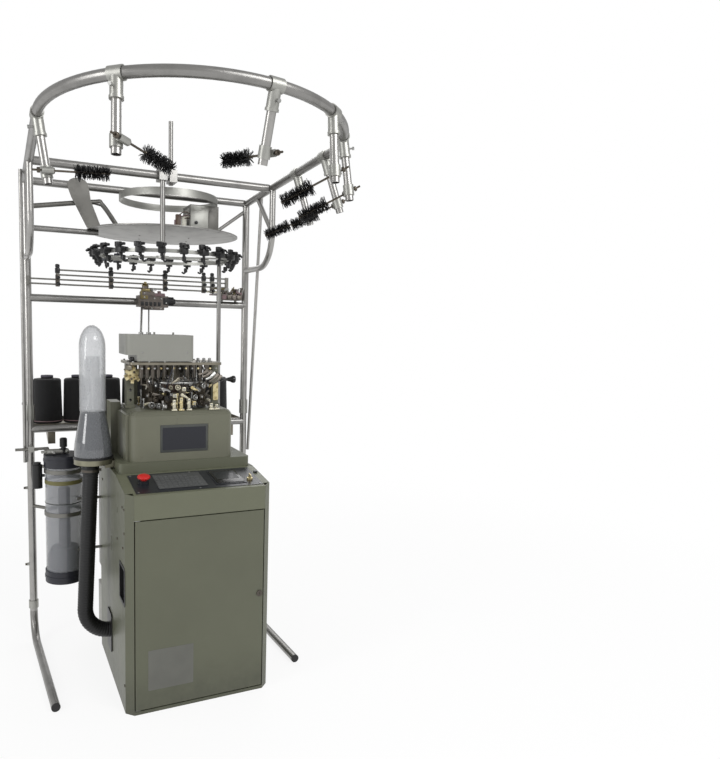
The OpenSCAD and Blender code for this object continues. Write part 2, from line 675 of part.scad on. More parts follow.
module suction_cone() color([0.5, 0.52, 0.54, 0.5]) translate([cone_x, hose_y, 0]) rotate_extrude() polygon([
  [cone_d / 2 - 3, cone_z], [cone_d / 2, cone_z], [cone_d / 2 - 1, cone_z + 30], [cone_d / 2 - 4, cone_z + 56],
  [neck_r + 2, neck_z - 8], [neck_r + 2, neck_z - gap], [neck_r - 2, neck_z - gap], [neck_r - 2, neck_z - 10],
  [cone_d / 2 - 8, cone_z + 56], [cone_d / 2 - 5, cone_z + 30]]);

module suction_rings() color([0.75, 0.7, 0.58]) difference() {
  union() {
    translate([cone_x, hose_y, ring_z0 - 10]) cylinder(r = cone_d / 2 + 1, h = 20);
    // Bracket to the bed plate's end
    block([cone_x + 40, hose_y - 30, deck_z + 4], [-bed_x, hose_y + 30, ring_z0]);
  }
  translate([tube_x, hose_y, ring_z0 - 40]) cylinder(r = hose_d / 2 + gap, h = 60);
}

module suction_seals() color([0.08, 0.08, 0.08]) {
  // Seal between the cone and its seat ring
  translate([cone_x, hose_y, ring_z0 + 10]) difference() {
    cylinder(r = cone_d / 2 + 3, h = 10);
    translate([0, 0, -eps]) cylinder(r = cone_d / 2 - 12, h = 14);
  }
  // Flange where the hose enters the cabinet
  difference() {
    translate([-cab_x - 5, hose_y, delivery_z]) rotate([0, 90, 0]) linear_extrude(5) polygon(rrect(156, 96, 14));
    translate([-cab_x - 6, hose_y, delivery_z]) rotate([0, 90, 0]) cylinder(r = hose_d / 2 + gap, h = 8);
  }
}

// The hose's lower and upper ends of its straight run
hose_low = [tube_x - hose_lean, hose_y, hose_turn_z];
hose_top = [tube_x, hose_y, ring_z0 - 40];

// Elbow of the hose into the cabinet side, with radius r
module hose_elbow(r) translate([hose_low[0] + hose_bend, hose_y, hose_turn_z]) rotate([90, 0, 0]) rotate([0, 0, 180])
  rotate_extrude(angle = 90) translate([hose_bend, 0]) circle(r = r);

module suction_hose() color([0.13, 0.13, 0.14]) difference() {
  r = hose_d / 2;
  v = hose_top - hose_low;
  n = 42;
  union() {
    translate(hose_low) rotate([0, acos(v[2] / norm(v)), 0]) translate([0, 0, -4]) rotate_extrude() polygon(concat([[0, 0]],
      [for (i = [0:2 * n]) [i % 2 == 0 ? r : r - 1.2, norm(v) * i / (2 * n)]], [[0, norm(v)]]));
    // Cuff under the seat ring and the spigot through it
    tube_along_z(tube_x, hose_y, ring_z0 - 50, ring_z0 - 10, r + 3);
    tube_along_z(tube_x, hose_y, ring_z0 - 12, ring_z0 + 6, r);
    hose_elbow(r - 1.5);
    tube_along_x(hose_low[0] + hose_bend - 3, -cab_x + 1, hose_y, delivery_z, r);
  }
  // Bore for the sock, open from the delivery pipe to the cone
  bar(hose_low - 3 * unit(v), hose_top + 6 * unit(v), r - 6);
  tube_along_z(tube_x, hose_y, ring_z0 - 46, ring_z0 + 6 + eps, r - 5);
  hose_elbow(r - 6.6);
  tube_along_x(hose_low[0] + hose_bend - 2, -cab_x + 1 + eps, hose_y, delivery_z, r - 6);
}

module canister() color([0.72, 0.75, 0.78, 0.5]) translate([can_x, can_y, can_z + 12]) difference() {
  cylinder(r = can_d / 2, h = can_h - 24);
  translate([0, 0, 4]) cylinder(r = can_d / 2 - 3, h = can_h);
}

module canister_caps() color([0.1, 0.11, 0.14]) {
  for (s = [0, 1]) {
    z = s == 0 ? can_z : can_top - cap_h;
    difference() {
      union() {
        translate([can_x, can_y, z]) cylinder(r = can_d / 2 + 4, h = cap_h);
        translate([can_x, can_y, s == 0 ? z + 18 : z + 24]) cylinder(r = can_d / 2 + 6, h = 10);
      }
      translate([can_x, can_y, s == 0 ? z + 12 : z - eps]) cylinder(r = can_d / 2 + gap, h = s == 0 ? cap_h : cap_h - 12 + eps);
    }
  }
}

strap_z = can_z + can_h * 0.53;
cap_strap_z = can_top - cap_h - 24;

module canister_bracket() color([0.6, 0.6, 0.55]) {
  // Arm rod through its clamp on the post, with the flat bar that carries the regulator
  tube_along_x(post_lx - 62, post_lx + 56, arm_y, arm_z, 6);
  block([post_lx + 50, can_y - 12, arm_z - 5], [post_lx + 70, arm_y + 9, arm_z + 5]);
  // Straps round the body
  for (z = [strap_z, cap_strap_z]) translate([can_x, can_y, z]) difference() {
    cylinder(r = can_d / 2 + 4, h = 16);
    translate([0, 0, -eps]) cylinder(r = can_d / 2 + gap, h = 20);
  }
  // Bars to the post and to the cabinet
  for (z = [strap_z + 8, cap_strap_z + 8]) difference() {
    bar([can_x, can_y, z], [post_lx, post_y, z], 7);
    translate([can_x, can_y, z - 20]) cylinder(r = can_d / 2 + 3, h = 40);
    tube_along_z(post_lx, post_y, z - 20, z + 20, tube_r + gap);
  }
  for (z = [can_z + can_h * 0.26, can_z + can_h * 0.66]) difference() {
    tube_along_x(can_x, -cab_x, cab_y - 15, z, 6);
    translate([can_x, can_y, z - 20]) cylinder(r = can_d / 2 + gap, h = 40);
  }
}

module canister_fittings() color([0.12, 0.12, 0.13]) {
  difference() {
    tube_along_z(can_x, can_y, can_top, can_top + 22, 17);
    tube_along_z(can_x, can_y, can_top + 10, can_top + 23, 5 + fit);
  }
  // Regulator body beside the knob
  difference() {
    block([post_lx + 70, can_y - 12, can_top + 4], [can_x, can_y + 12, can_top + 20]);
    tube_along_z(can_x, can_y, can_top, can_top + 24, 16);
  }
  // Filter bowl between the canister and the post
  tube_along_z(bowl_x, bowl_y, can_top - 142, can_top - 44, 20);
  tube_along_z(bowl_x, bowl_y, can_top - 46, can_top - 34, 15);
  difference() {
    bar([bowl_x, bowl_y, can_top - 90], [can_x, can_y, can_top - 90], 6);
    tube_along_z(can_x, can_y, can_top - 110, can_top - 70, can_d / 2 + gap);
  }
}

bowl_x = can_x - 103;
bowl_y = can_y + 18;

module regulator_knob() color([0.06, 0.06, 0.06]) translate([can_x, can_y, can_top + 22 + gap]) difference() {
  union() {
    translate([0, 0, -11]) cylinder(r = 5, h = 12);
    cylinder(r = 10, h = 8);
    translate([0, 0, 8]) cylinder(r = 15, h = 34);
    translate([0, 0, 42]) cylinder(r = 12, h = 3);
  }
  for (i = [0:11]) rotate([0, 0, 30 * i]) translate([15.6, 0, 10]) cylinder(r = 2, h = 40, $fn = 8);
}

module top_ring() color([0.6, 0.6, 0.59]) on_ring() {
  translate([stand_cx, ring_cy, ring_z]) rotate([0, 0, 180]) rotate_extrude(angle = 180) translate([ring_r, 0]) circle(r = tube_r);
  for (x = [post_lx, post_rx]) tube_along_y(x, ring_cy, post_y + tube_r + 4, ring_z, tube_r);
}

module posts() color([0.68, 0.69, 0.69]) difference() {
  for (x = [post_lx, post_rx]) tube_along_z(x, post_y, tube_r + bend_r + gap, ring_z, tube_r);
  on_ring() for (x = [post_lx, post_rx]) tube_along_y(x, post_y - 60, post_y + 60, ring_z, tube_r + gap);
}

module floor_tubes() color([0.6, 0.6, 0.6]) for (s = [-1, 1]) at_foot(s) {
  x = stand_cx + s * ring_r;
  translate([x, post_y - bend_r, tube_r + bend_r]) rotate([90, 0, 90]) rotate_extrude(angle = -90) translate([bend_r, 0]) circle(r = tube_r);
  difference() {
    tube_along_y(x, floor_y0, post_y - bend_r, tube_r, tube_r);
    tube_along_y(x, floor_y0 - eps, floor_y0 + 30, tube_r, tube_r - 2.5);
  }
}

module cross_tubes() color([0.6, 0.6, 0.58]) difference() {
  union() {
    for (z = [bar_z, low_tube_z, shelf_z]) tube_along_x(post_lx, post_rx, post_y, z, tube_r);
    tube_along_x(post_lx, post_rx, high_tube_y, high_tube_z, tube_r);
  }
  for (x = [post_lx, post_rx]) {
    tube_along_z(x, post_y, shelf_z - 40, ring_z, tube_r + gap);
    on_ring() tube_along_y(x, high_tube_y - 40, post_y + 40, ring_z, tube_r + gap);
  }
}

// Thin straight brace outside the right post
module thin_brace(r) bar([post_rx + tube_r + 7 + gap, 335, ring_z + 14], [post_rx + tube_r + 7 + gap, post_y - 6, 790], r);

// The right side's braces, mirrored to the left
module brace_set() {
  x = post_rx;
  leg_z = brace_z + brace_bend;
  difference() {
    union() {
      tube_along_z(x, brace_y, leg_z, brace_top_z, brace_r);
      translate([x, brace_y + brace_bend, leg_z]) rotate([90, 0, 90]) rotate([0, 0, 180])
        rotate_extrude(angle = 90) translate([brace_bend, 0]) circle(r = brace_r);
      tube_along_y(x, brace_y + brace_bend, post_y, brace_z, brace_r);
    }
    tube_along_z(x, post_y, brace_z - 40, brace_z + 40, tube_r + gap);
    on_ring() tube_along_y(x, brace_y - 60, brace_y + 60, ring_z, tube_r + gap);
  }
  difference() {
    bar([x, brace_y, leg_z], [x, brace_y + 187, ring_z + 7], brace_r - 3);
    tube_along_z(x, brace_y, leg_z - 60, brace_top_z, brace_r + gap);
    on_ring() tube_along_y(x, brace_y - 40, brace_y + 260, ring_z, tube_r + gap);
  }
  thin_brace(7);
}

module side_braces() color([0.66, 0.67, 0.67]) {
  brace_set();
  translate([2 * stand_cx, 0, 0]) mirror([1, 0, 0]) brace_set();
}

module tube_plugs() color([0.06, 0.06, 0.06]) {
  for (s = [-1, 1]) at_foot(s) {
    tube_along_y(stand_cx + s * ring_r, floor_y0 - 4, floor_y0 - 0.01, tube_r, tube_r);
    tube_along_y(stand_cx + s * ring_r, floor_y0 - 1, floor_y0 + 20, tube_r, tube_r - 2.5 - gap);
  }
  on_ring() for (x = [post_lx, post_rx]) tube_along_y(x, post_y + tube_r + 4, post_y + tube_r + 8, ring_z, tube_r);
}

// Clamp on the ring with the sleeve that holds a drop tube
module ring_clamp() difference() {
  union() {
    tube_along_x(-21, 21, 0, 0, tube_r + clamp_t);
    tube_along_z(0, 0, -sleeve_len, 0, drop_r + clamp_t);
    tube_along_z(0, 0, -sleeve_len, -sleeve_len + 8, drop_r + clamp_t + 2);
  }
  tube_along_x(-22, 22, 0, 0, tube_r + 0.6);
  tube_along_z(0, 0, -sleeve_len - eps, 0, drop_r + 0.2);
  tube_along_y(0, -60, 0, -tube_r - 22, 3.1);
}

// Cross clamp at a drop tube's foot, with its bore for the brush stem
module foot_clamp(d) {
  c = cross_at(d);
  a = drop_axis(d);
  s = stem_dir(d);
  o = c + cross_off * cross_side(d);
  difference() {
    union() {
      bar(c - 17 * a, c + 17 * a, drop_r + clamp_t);
      bar(o - 17 * s, o + 17 * s, stem_r + 7);
    }
    bar(c - 18 * a, c + 18 * a, drop_r + 0.2);
    bar(o - 18 * s, o + 18 * s, stem_r + 0.1);
  }
}

// Sleeve on a post, split by its bolt
module post_sleeve(x, z, h) difference() {
  tube_along_z(x, post_y, z - h / 2, z + h / 2, tube_r + clamp_t);
  tube_along_z(x, post_y, z - h, z + h, tube_r + 0.2);
}

module tube_clamps() color([0.74, 0.74, 0.73]) {
  $fn = 24;
  on_ring() for (i = [0:6]) {
    at_drop(i) ring_clamp();
    foot_clamp(DROPS[i]);
  }
  for (x = [post_lx, post_rx]) {
    post_sleeve(x, tube_r + bend_r + 30, 34);
    post_sleeve(x, 1004, 66);
  }
  // Saddle on the left post that holds the short arm rod
  difference() {
    block([post_lx - 12, arm_y - 11, arm_z - 12], [post_lx + 12, post_y - 8, arm_z + 12]);
    tube_along_x(post_lx - 20, post_lx + 20, arm_y, arm_z, 6.1);
    tube_along_z(post_lx, post_y, arm_z - 20, arm_z + 20, tube_r + gap);
  }
}

module drop_tubes() color([0.75, 0.75, 0.74]) on_ring() for (i = [0:6]) at_drop(i) difference() {
  tube_along_z(0, 0, -drop_len, -tube_r - 1, drop_r);
  tube_along_z(0, 0, -drop_len - eps, -tube_r - 10, drop_r - 2);
  tube_along_y(0, -60, 0, -tube_r - 22, 3.1);
}

// One round of bristles
module bristle_star(r) linear_extrude(2.4) polygon([
  for (i = [0:19]) let (q = i % 2 == 0 ? r : r * 0.34) [q * cos(18 * i), q * sin(18 * i)]]);

module brush() {
  tube_along_z(0, 0, -44, brush_start + brush_len + 4, stem_r);
  n = 11;
  for (i = [0:n - 1]) translate([0, 0, brush_start + brush_len * i / (n - 1)]) rotate([0, 0, 37 * i])
    bristle_star(brush_d / 2 * (i == 0 || i == n - 1 ? 0.86 : 1));
}

module brushes() color([0.07, 0.07, 0.08]) on_ring() for (d = DROPS) {
  s = stem_dir(d);
  translate(cross_at(d) + cross_off * cross_side(d)) rotate([0, acos(s[2]), atan2(s[1], s[0])]) brush();
}

module thumb_screws() color([0.2, 0.2, 0.21]) {
  on_ring() for (i = [0:6]) at_drop(i) {
    tube_along_y(0, -drop_r - clamp_t - 10, -drop_r + 3, -tube_r - 22, 3);
    tube_along_y(0, -drop_r - clamp_t - 15, -drop_r - clamp_t - 9, -tube_r - 22, 5.5);
  }
}

conduit_r = 8;
CONDUIT = [[post_lx, post_y, disc_z + 73], [disc_x - 309, post_y + 4, disc_z + 117],
  [disc_x - 267, post_y + 6, disc_z + 109], [disc_x - 191, post_y + 8, disc_z + disc_t]];

module disc_hangers() color([0.72, 0.73, 0.74]) {
  // Pipe that carries the guide ring, and the rod beside it
  difference() {
    tube_along_z(pipe_x, pipe_y, gring_z + gband_h, high_tube_z + 28, pipe_r);
    tube_along_x(pipe_x - 30, pipe_x + 30, high_tube_y, high_tube_z, tube_r + gap);
  }
  tube_along_z(2, high_tube_y + tube_r + 9 + gap, high_tube_z - 30, high_tube_z + 221, 9);
  // Column from the bed plate to the guide ring
  tube_along_z(gring_col_x, gring_col_y, bed_top, gring_z + 5, 9);
  // Clamp blocks on the high cross tube
  difference() {
    block([pipe_x - 16, pipe_y - 15, high_tube_z - 24], [pipe_x + 16, high_tube_y + tube_r + 6, high_tube_z + 24]);
    tube_along_z(pipe_x, pipe_y, high_tube_z - 30, high_tube_z + 30, pipe_r + gap);
    tube_along_x(pipe_x - 30, pipe_x + 30, high_tube_y, high_tube_z, tube_r + gap);
  }
  difference() {
    block([2 - 15, high_tube_y - tube_r - 6, high_tube_z - 24], [2 + 15, high_tube_y + tube_r + 24, high_tube_z + 24]);
    tube_along_z(2, high_tube_y + tube_r + 9 + gap, high_tube_z - 32, high_tube_z + 30, 9 + gap);
    tube_along_x(-30, 30, high_tube_y, high_tube_z, tube_r + gap);
  }
  // Tube from the left post that carries the disc's rim
  difference() {
    tube_along_x(post_lx, disc_x - disc_r + 46, disc_y - 7, disc_z - 12, 12);
    tube_along_z(post_lx, post_y, disc_z - 60, disc_z + 60, tube_r + gap);
  }
  // Strut from the right post down to the disc
  difference() {
    bar([post_rx, post_y, ring_z - 32], [disc_x + disc_r - 120, disc_y - 7, disc_z + disc_t + 8], 8);
    tube_along_z(post_rx, post_y, disc_z, ring_z, tube_r + gap);
  }
  // Bent conduit from the left post to the disc
  difference() {
    union() {
      for (i = [0:2]) bar(CONDUIT[i], CONDUIT[i + 1], conduit_r);
      for (i = [1, 2]) translate(CONDUIT[i]) sphere(r = conduit_r + 0.6);
    }
    tube_along_z(post_lx, post_y, CONDUIT[0][2] - 60, CONDUIT[0][2] + 60, tube_r + gap);
    tube_along_z(disc_x, disc_y, disc_z - 40, disc_z + disc_t, disc_r);
  }
}

module hoop() color([0.75, 0.76, 0.76]) translate([hoop_x, hoop_y, hoop_z]) difference() {
  cylinder(r = hoop_d / 2, h = hoop_h, $fn = 96);
  translate([0, 0, -eps]) cylinder(r = hoop_d / 2 - 3, h = hoop_h + 2 * eps, $fn = 96);
}

module disc_plate() color([0.58, 0.58, 0.56]) translate([disc_x, disc_y, disc_z]) difference() {
  union() {
    cylinder(r = disc_r, h = disc_t, $fn = 96);
    translate([0, 0, -12]) cylinder(r = disc_r * 0.42, h = 13);
  }
  for (i = [0:29]) rotate([0, 0, 12 * i + 4]) translate([disc_r - 16, 0, -20]) cylinder(r = 5, h = 40);
  translate([0, 0, -20]) cylinder(r = disc_r * 0.42 - 30, h = 40);
}

module disc_brackets() color([0.52, 0.52, 0.5]) {
  // Bent strip from the low cross tube to the disc's rim
  x0 = disc_x - disc_r;
  sy = post_y - tube_r - gap;
  translate([0, sy, 0]) rotate([90, 0, 0]) linear_extrude(3) polygon(concat(
    [[x0 + 52, disc_z + disc_t], [x0 + 52, disc_z + 20], [x0 + 14, low_tube_z - 60]],
    [for (i = [0:8]) [x0 - 38 + 44 * cos(22.5 * i), low_tube_z - 4 + 34 * sin(22.5 * i)]],
    [[x0 - 66, low_tube_z - 50], [x0 - 6, disc_z + 10], [x0 - 2, disc_z + disc_t]]));
  block([x0 + 12, sy - 3, disc_z + disc_t], [x0 + 52, sy + 30, disc_z + disc_t + 3]);
  // Folded box that carries the hoop on the disc's right
  hx = hoop_x + hoop_d / 2;
  difference() {
    block([hx - 132, hoop_y - 62, disc_z + disc_t], [hx - 4, hoop_y + 62, hoop_z - 3]);
    block([hx - 129, hoop_y - 59, disc_z + disc_t + 3], [hx - 7, hoop_y + 59, hoop_z]);
    block([hx - 140, hoop_y - 40, disc_z + disc_t + 14], [hx - 100, hoop_y + 40, hoop_z - 14]);
  }
  difference() {
    block([hx - 46, hoop_y - 30, hoop_z - 6], [hx + 3, hoop_y + 30, hoop_z - 0.01]);
    translate([hoop_x, hoop_y, hoop_z - 12]) cylinder(r = hoop_d / 2 - 34, h = 30);
  }
  translate([hx - 25, hoop_y, hoop_z - 30]) cylinder(r = 5, h = 26);
}

module guide_ring() color([0.66, 0.67, 0.66]) difference() {
  union() {
    translate([gring_x, gring_y, gring_z]) difference() {
      cylinder(r = gring_r, h = gband_h, $fn = 96);
      translate([0, 0, -eps]) cylinder(r = gring_r - 14, h = gband_h + 2 * eps, $fn = 96);
    }
    // Lug on the column
    translate([gring_x, gring_y, gring_z]) rotate([0, 0, gring_col_a]) translate([gring_r - 8, -12, 0]) cube([46, 24, gband_h]);
    // Spoke bar across the ring and the plate under the pipe
    translate([gring_x, gring_y, gring_z]) rotate([0, 0, -26]) translate([-gring_r + 6, -9, 3]) cube([2 * gring_r - 12, 18, 6]);
    translate([pipe_x, pipe_y, gring_z + 3]) cylinder(r = 26, h = gband_h - 3);
    block([pipe_x, pipe_y - 20, gring_z + 3], [gring_x + gring_r - 22, pipe_y + 16, gring_z + 7]);
  }
  tube_along_z(gring_col_x, gring_col_y, gring_z - 20, gring_z + 5, 9 + gap);
}

gring_col_a = 24.5;
gring_col_x = gring_x + (gring_r + 24) * cos(gring_col_a);
gring_col_y = gring_y + (gring_r + 24) * sin(gring_col_a);

// One black yarn guide: a foot on the ring, an eyelet block and its trip arm
module yarn_guide() difference() {
  union() {
    translate([0, -7, 0]) cube([28, 14, 14]);
    translate([14, 0, -16]) cylinder(r = 5, h = 46);
    translate([20, -4, 14]) cube([16, 8, 12]);
    translate([14, 0, 28]) sphere(r = 7.5, $fn = 24);
  }
  translate([0, 0, 8]) rotate([0, 90, 0]) cylinder(r = 2.5, h = 40);
}

module yarn_guides() color([0.06, 0.06, 0.07]) translate([gring_x, gring_y, gring_z])
  for (i = [0:guide_count - 1]) {
    a = 360 * (i + 0.5) / guide_count;
    if (abs(a - gring_col_a) > 5) rotate([0, 0, a]) translate([gring_r + gap, 0, 0]) yarn_guide();
  }

module guide_rod_rack() color([0.66, 0.67, 0.66]) {
  y = post_y - tube_r - 26;
  zs = [118, 98, 78, 58];
  x0 = -424;
  x1 = 330;
  for (i = [0:3]) difference() {
    tube_along_x(i < 2 ? x0 : post_lx, x1, y, bar_z + zs[i], 3.5);
    tube_along_z(post_lx, post_y, bar_z, bar_z + 140, tube_r + gap);
  }
  // Lugs on the left post that carry the lower rods
  difference() {
    block([post_lx - 6, y - 7, bar_z + 50], [post_lx + 6, post_y, bar_z + 88]);
    tube_along_z(post_lx, post_y, bar_z, bar_z + 140, tube_r + gap);
    for (i = [2, 3]) tube_along_x(post_lx - 8, post_lx + 8, y, bar_z + zs[i], 3.6);
  }
  // Holders that clamp the rods together
  for (x = [-418, -200, 36, 215, 255]) difference() {
    union() {
      block([x - 7, y - 8, bar_z + 50], [x + 7, y + 8, bar_z + 126]);
      tube_along_z(x, y, bar_z + 125, bar_z + 140, 5);
    }
    for (z = zs) tube_along_x(x - 8, x + 8, y, bar_z + z, 3.6);
  }
  // Foot of the rods on the tension device
  difference() {
    block([x1 - 12, y - 7, bar_z + 48], [x1 + 2, y + 7, bar_z + 124]);
    for (z = zs) tube_along_x(x1 - 14, x1 + 4, y, bar_z + z, 3.6);
  }
  // Tension device at the right end of the bar
  difference() {
    block([300, post_y - 50, bar_z + 22], [400, post_y + 30, bar_z + 48]);
    block([352, post_y - 51, bar_z + 46], [364, post_y + 31, bar_z + 49]);
  }
  for (x = [316, 384]) {
    tube_along_z(x, post_y, bar_z + tube_r + gap, bar_z + 22, 6);
    tube_along_z(x, post_y - 8, bar_z + 48, bar_z + 76, 9);
  }
}

module yarn_shelf() color([0.55, 0.56, 0.55]) {
  x0 = post_lx + 12;
  x1 = post_rx - 12;
  y0 = shelf_y0 - 8;
  difference() {
    block([x0, y0, shelf_z], [x1, y0 + shelf_d, shelf_z + 18]);
    block([x0 + 2, y0 + 2, shelf_z + 2], [x1 - 2, y0 + shelf_d - 2, shelf_z + 20]);
    for (x = [post_lx, post_rx]) tube_along_z(x, post_y, shelf_z - 20, shelf_z + 40, tube_r + gap);
  }
  // Angle brackets under the tray
  for (x = [x0 + 60, x1 - 64]) {
    translate([x, y0, shelf_z]) rotate([90, 0, 90]) linear_extrude(4) polygon([[0, 0], [shelf_d - 40, 0], [shelf_d - 40, -10], [12, -70], [0, -70]]);
    block([x, post_y + tube_r + gap, shelf_z - 70], [x + 30, post_y + tube_r + 4, shelf_z]);
  }
}

function package_x(i) = head_x - 450 + package_pitch * i;

module yarn_package() {
  // Wound yarn on its cone
  rotate_extrude() polygon([[0, 8], [60, 8], [64, 16], [59, package_h - 6], [54, package_h], [0, package_h]]);
  cylinder(r1 = 35, r2 = 34.5, h = 9);
  translate([0, 0, package_h - 1]) cylinder(r1 = 27, r2 = 25, h = 15);
}

module yarn_packages() color([0.05, 0.05, 0.06])
  for (i = [0:package_count - 1]) translate([package_x(i), shelf_y0 + 105, shelf_z + 2]) yarn_package();

module feeder_body() color([0.42, 0.38, 0.35]) {
  y1 = post_y - tube_r - gap;
  difference() {
    union() {
      block([-88, feeder_y - 22, bar_z - 24], [44, y1, bar_z + 26]);
      block([-72, feeder_y - 26, bar_z + 26], [-18, y1, bar_z + 44]);
    }
    for (i = [0:4]) block([-76 + 18 * i, feeder_y - 23, bar_z - 16], [-66 + 18 * i, feeder_y - 16, bar_z - 4]);
    tube_along_x(30, 45, feeder_y - 2, bar_z + 4, 5 + fit);
  }
  // Brass yarn tensioner on top
  tube_along_z(-56, feeder_y - 12, bar_z + 44, bar_z + 66, 14);
  tube_along_z(-30, feeder_y - 8, bar_z + 44, bar_z + 58, 9);
}

module feeder_wheel() color([0.1, 0.1, 0.11]) translate([44 + gap, feeder_y - 2, bar_z + 4]) rotate([0, 90, 0]) difference() {
  union() {
    translate([0, 0, -13]) cylinder(r = 5, h = 14);
    cylinder(r = 20, h = 26);
    translate([0, 0, 26]) cylinder(r = 12, h = 8);
  }
  for (i = [0:11]) rotate([0, 0, 30 * i]) translate([21, 0, 4]) cylinder(r = 3, h = 18, $fn = 8);
}

module feed_tubes() color([0.55, 0.56, 0.55]) {
  ty = box_y0 + 70;
  tz = box_z + top_box_h;
  difference() {
    union() {
      bar([-69, feeder_y, bar_z - 20], [box_x0 + 68, ty, tz], 4.5);
      bar([-38, feeder_y, bar_z - 20], [box_x0 + 98, ty, tz], 3);
      for (x = [box_x0 + 68, box_x0 + 98]) tube_along_z(x, ty, tz, tz + 9, 9);
    }
    block([box_x0 - 5, box_y0 - 5, box_z], [box_x0 + top_box_w, box_y0 + top_box_d + 5, tz]);
    block([-88, feeder_y - 22, bar_z - 24], [44, post_y, bar_z + 26]);
  }
}

cabinet_shell();
rear_boxes();
console();
console_fascia();
bed_plate();
front_door();
door_lock();
hinge_pins();
estop_button();
key_switch();
side_handle();
drive_motor();
motor_pulley();
drive_belt();
delivery_pipe();
head_casting();
cam_ring();
needle_cylinder();
dial();
selector_units();
top_plate();
top_box();
head_columns();
brass_plates();
lift_handle();
finger_set_left();
finger_set_right();
air_cylinders();
suction_dome();
suction_cone();
suction_rings();
suction_seals();
suction_hose();
canister();
canister_caps();
canister_bracket();
canister_fittings();
regulator_knob();
top_ring();
posts();
floor_tubes();
cross_tubes();
side_braces();
tube_plugs();
tube_clamps();
drop_tubes();
brushes();
thumb_screws();
disc_hangers();
hoop();
disc_plate();
disc_brackets();
guide_ring();
yarn_guides();
guide_rod_rack();
yarn_shelf();
yarn_packages();
feeder_body();
feeder_wheel();
feed_tubes();
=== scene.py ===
import math
import random

import bmesh
import bpy
from bpy.props import FloatProperty, FloatVectorProperty, IntProperty, PointerProperty
from mathutils import Matrix, Vector


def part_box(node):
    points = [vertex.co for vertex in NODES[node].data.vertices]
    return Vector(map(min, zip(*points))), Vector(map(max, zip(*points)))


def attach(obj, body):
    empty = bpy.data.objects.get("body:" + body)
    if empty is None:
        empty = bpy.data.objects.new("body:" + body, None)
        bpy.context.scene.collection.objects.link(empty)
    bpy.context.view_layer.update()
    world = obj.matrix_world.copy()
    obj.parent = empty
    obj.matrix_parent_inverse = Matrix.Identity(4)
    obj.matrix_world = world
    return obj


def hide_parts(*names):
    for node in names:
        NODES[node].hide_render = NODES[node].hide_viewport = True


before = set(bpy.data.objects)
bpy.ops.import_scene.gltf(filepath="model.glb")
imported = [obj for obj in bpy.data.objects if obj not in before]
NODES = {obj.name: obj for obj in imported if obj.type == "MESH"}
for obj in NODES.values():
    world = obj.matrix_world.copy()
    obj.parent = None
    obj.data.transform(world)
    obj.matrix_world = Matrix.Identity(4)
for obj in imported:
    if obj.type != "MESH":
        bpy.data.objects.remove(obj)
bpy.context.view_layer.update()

bl_info = {
    "name": "Sock knitting machine dresser",
    "version": (1, 0, 0),
    "blender": (4, 5, 0),
    "location": "View3D > Sidebar > Knitting",
    "description": "Dresses the packed sock knitting machine with finishes and fine parts",
    "category": "Object",
}

ROOT = "frame"

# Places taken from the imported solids, in metres
HEAD_X = sum(c[0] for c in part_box("needle_cylinder")) / 2
HEAD_Y = sum(c[1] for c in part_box("needle_cylinder")) / 2
CAST_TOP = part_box("cam_ring")[0][2]
CAM_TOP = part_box("cam_ring")[1][2]
CAST_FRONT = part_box("head_casting")[0][1]
BED_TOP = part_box("bed_plate")[1][2]
PLATE_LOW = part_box("air_cylinders")[1][2]
PLATE_TOP = PLATE_LOW + 0.010

# Front edge and slope of the console's deck, faces of the door and of the cabinet's sides
DECK_EDGE = (0, -0.300, 0.800)
DECK_SLOPE = math.atan2(33, 212)
DOOR_FRONT = -0.300
SIDE_X = 0.270

# Height and front of the stand's cross bar
BAR_Z = 1.490
BAR_FRONT = 0.459

# The top ring, which slopes up from its rear ends at the posts
POST_Y = 0.475
RING_Z = 1.968
RING_TILT = math.radians(2.8)
RING_RADIUS = 0.4835
RING_CENTRE = (-0.051, POST_Y - 1.325 + RING_RADIUS)
RING_TURN = (
    Matrix.Translation((0, POST_Y, RING_Z))
    @ Matrix.Rotation(-RING_TILT, 4, "X")
    @ Matrix.Translation((0, -POST_Y, -RING_Z))
)
# Drop tubes: angle round the ring or place along a straight side, side, lean, stem azimuth, stem dip
DROPS = (
    (None, -0.346, -1, -8, 3, -4), (229.5, None, 0, 2, 35, 9), (280, None, 0, -19.5, 117, -4),
    (310.5, None, 0, 2, 147, 26), (338, None, 0, 6.5, 153, 27), (None, -0.342, 1, 18.5, 155, 25),
    (None, -0.098, 1, 17.5, 159, 24),
)
DROP_LENGTH = 0.206
CROSS_UP = 0.034
CROSS_OFF = 0.0255

# The camera fitted to the photograph: pixels, a sensor in millimetres, degrees and metres
PHOTO_HEIGHT = 759
FOCAL = 659.8
SHIFT = (60, 20.5)
SENSOR = 36
CAMERA_ANGLES = (24.92, 6.17, -1.36)
CAMERA_AT = (-0.6668, -2.5473, 1.3868)

# The floor's reach, the share of its look that is its own light near the machine, and where that share
# rises to the whole, in metres from the middle
FLOOR_REACH = 120.0
FLOOR_GLOW = 0.86
GLOW_FROM = 2.6
GLOW_FADE = 1.4


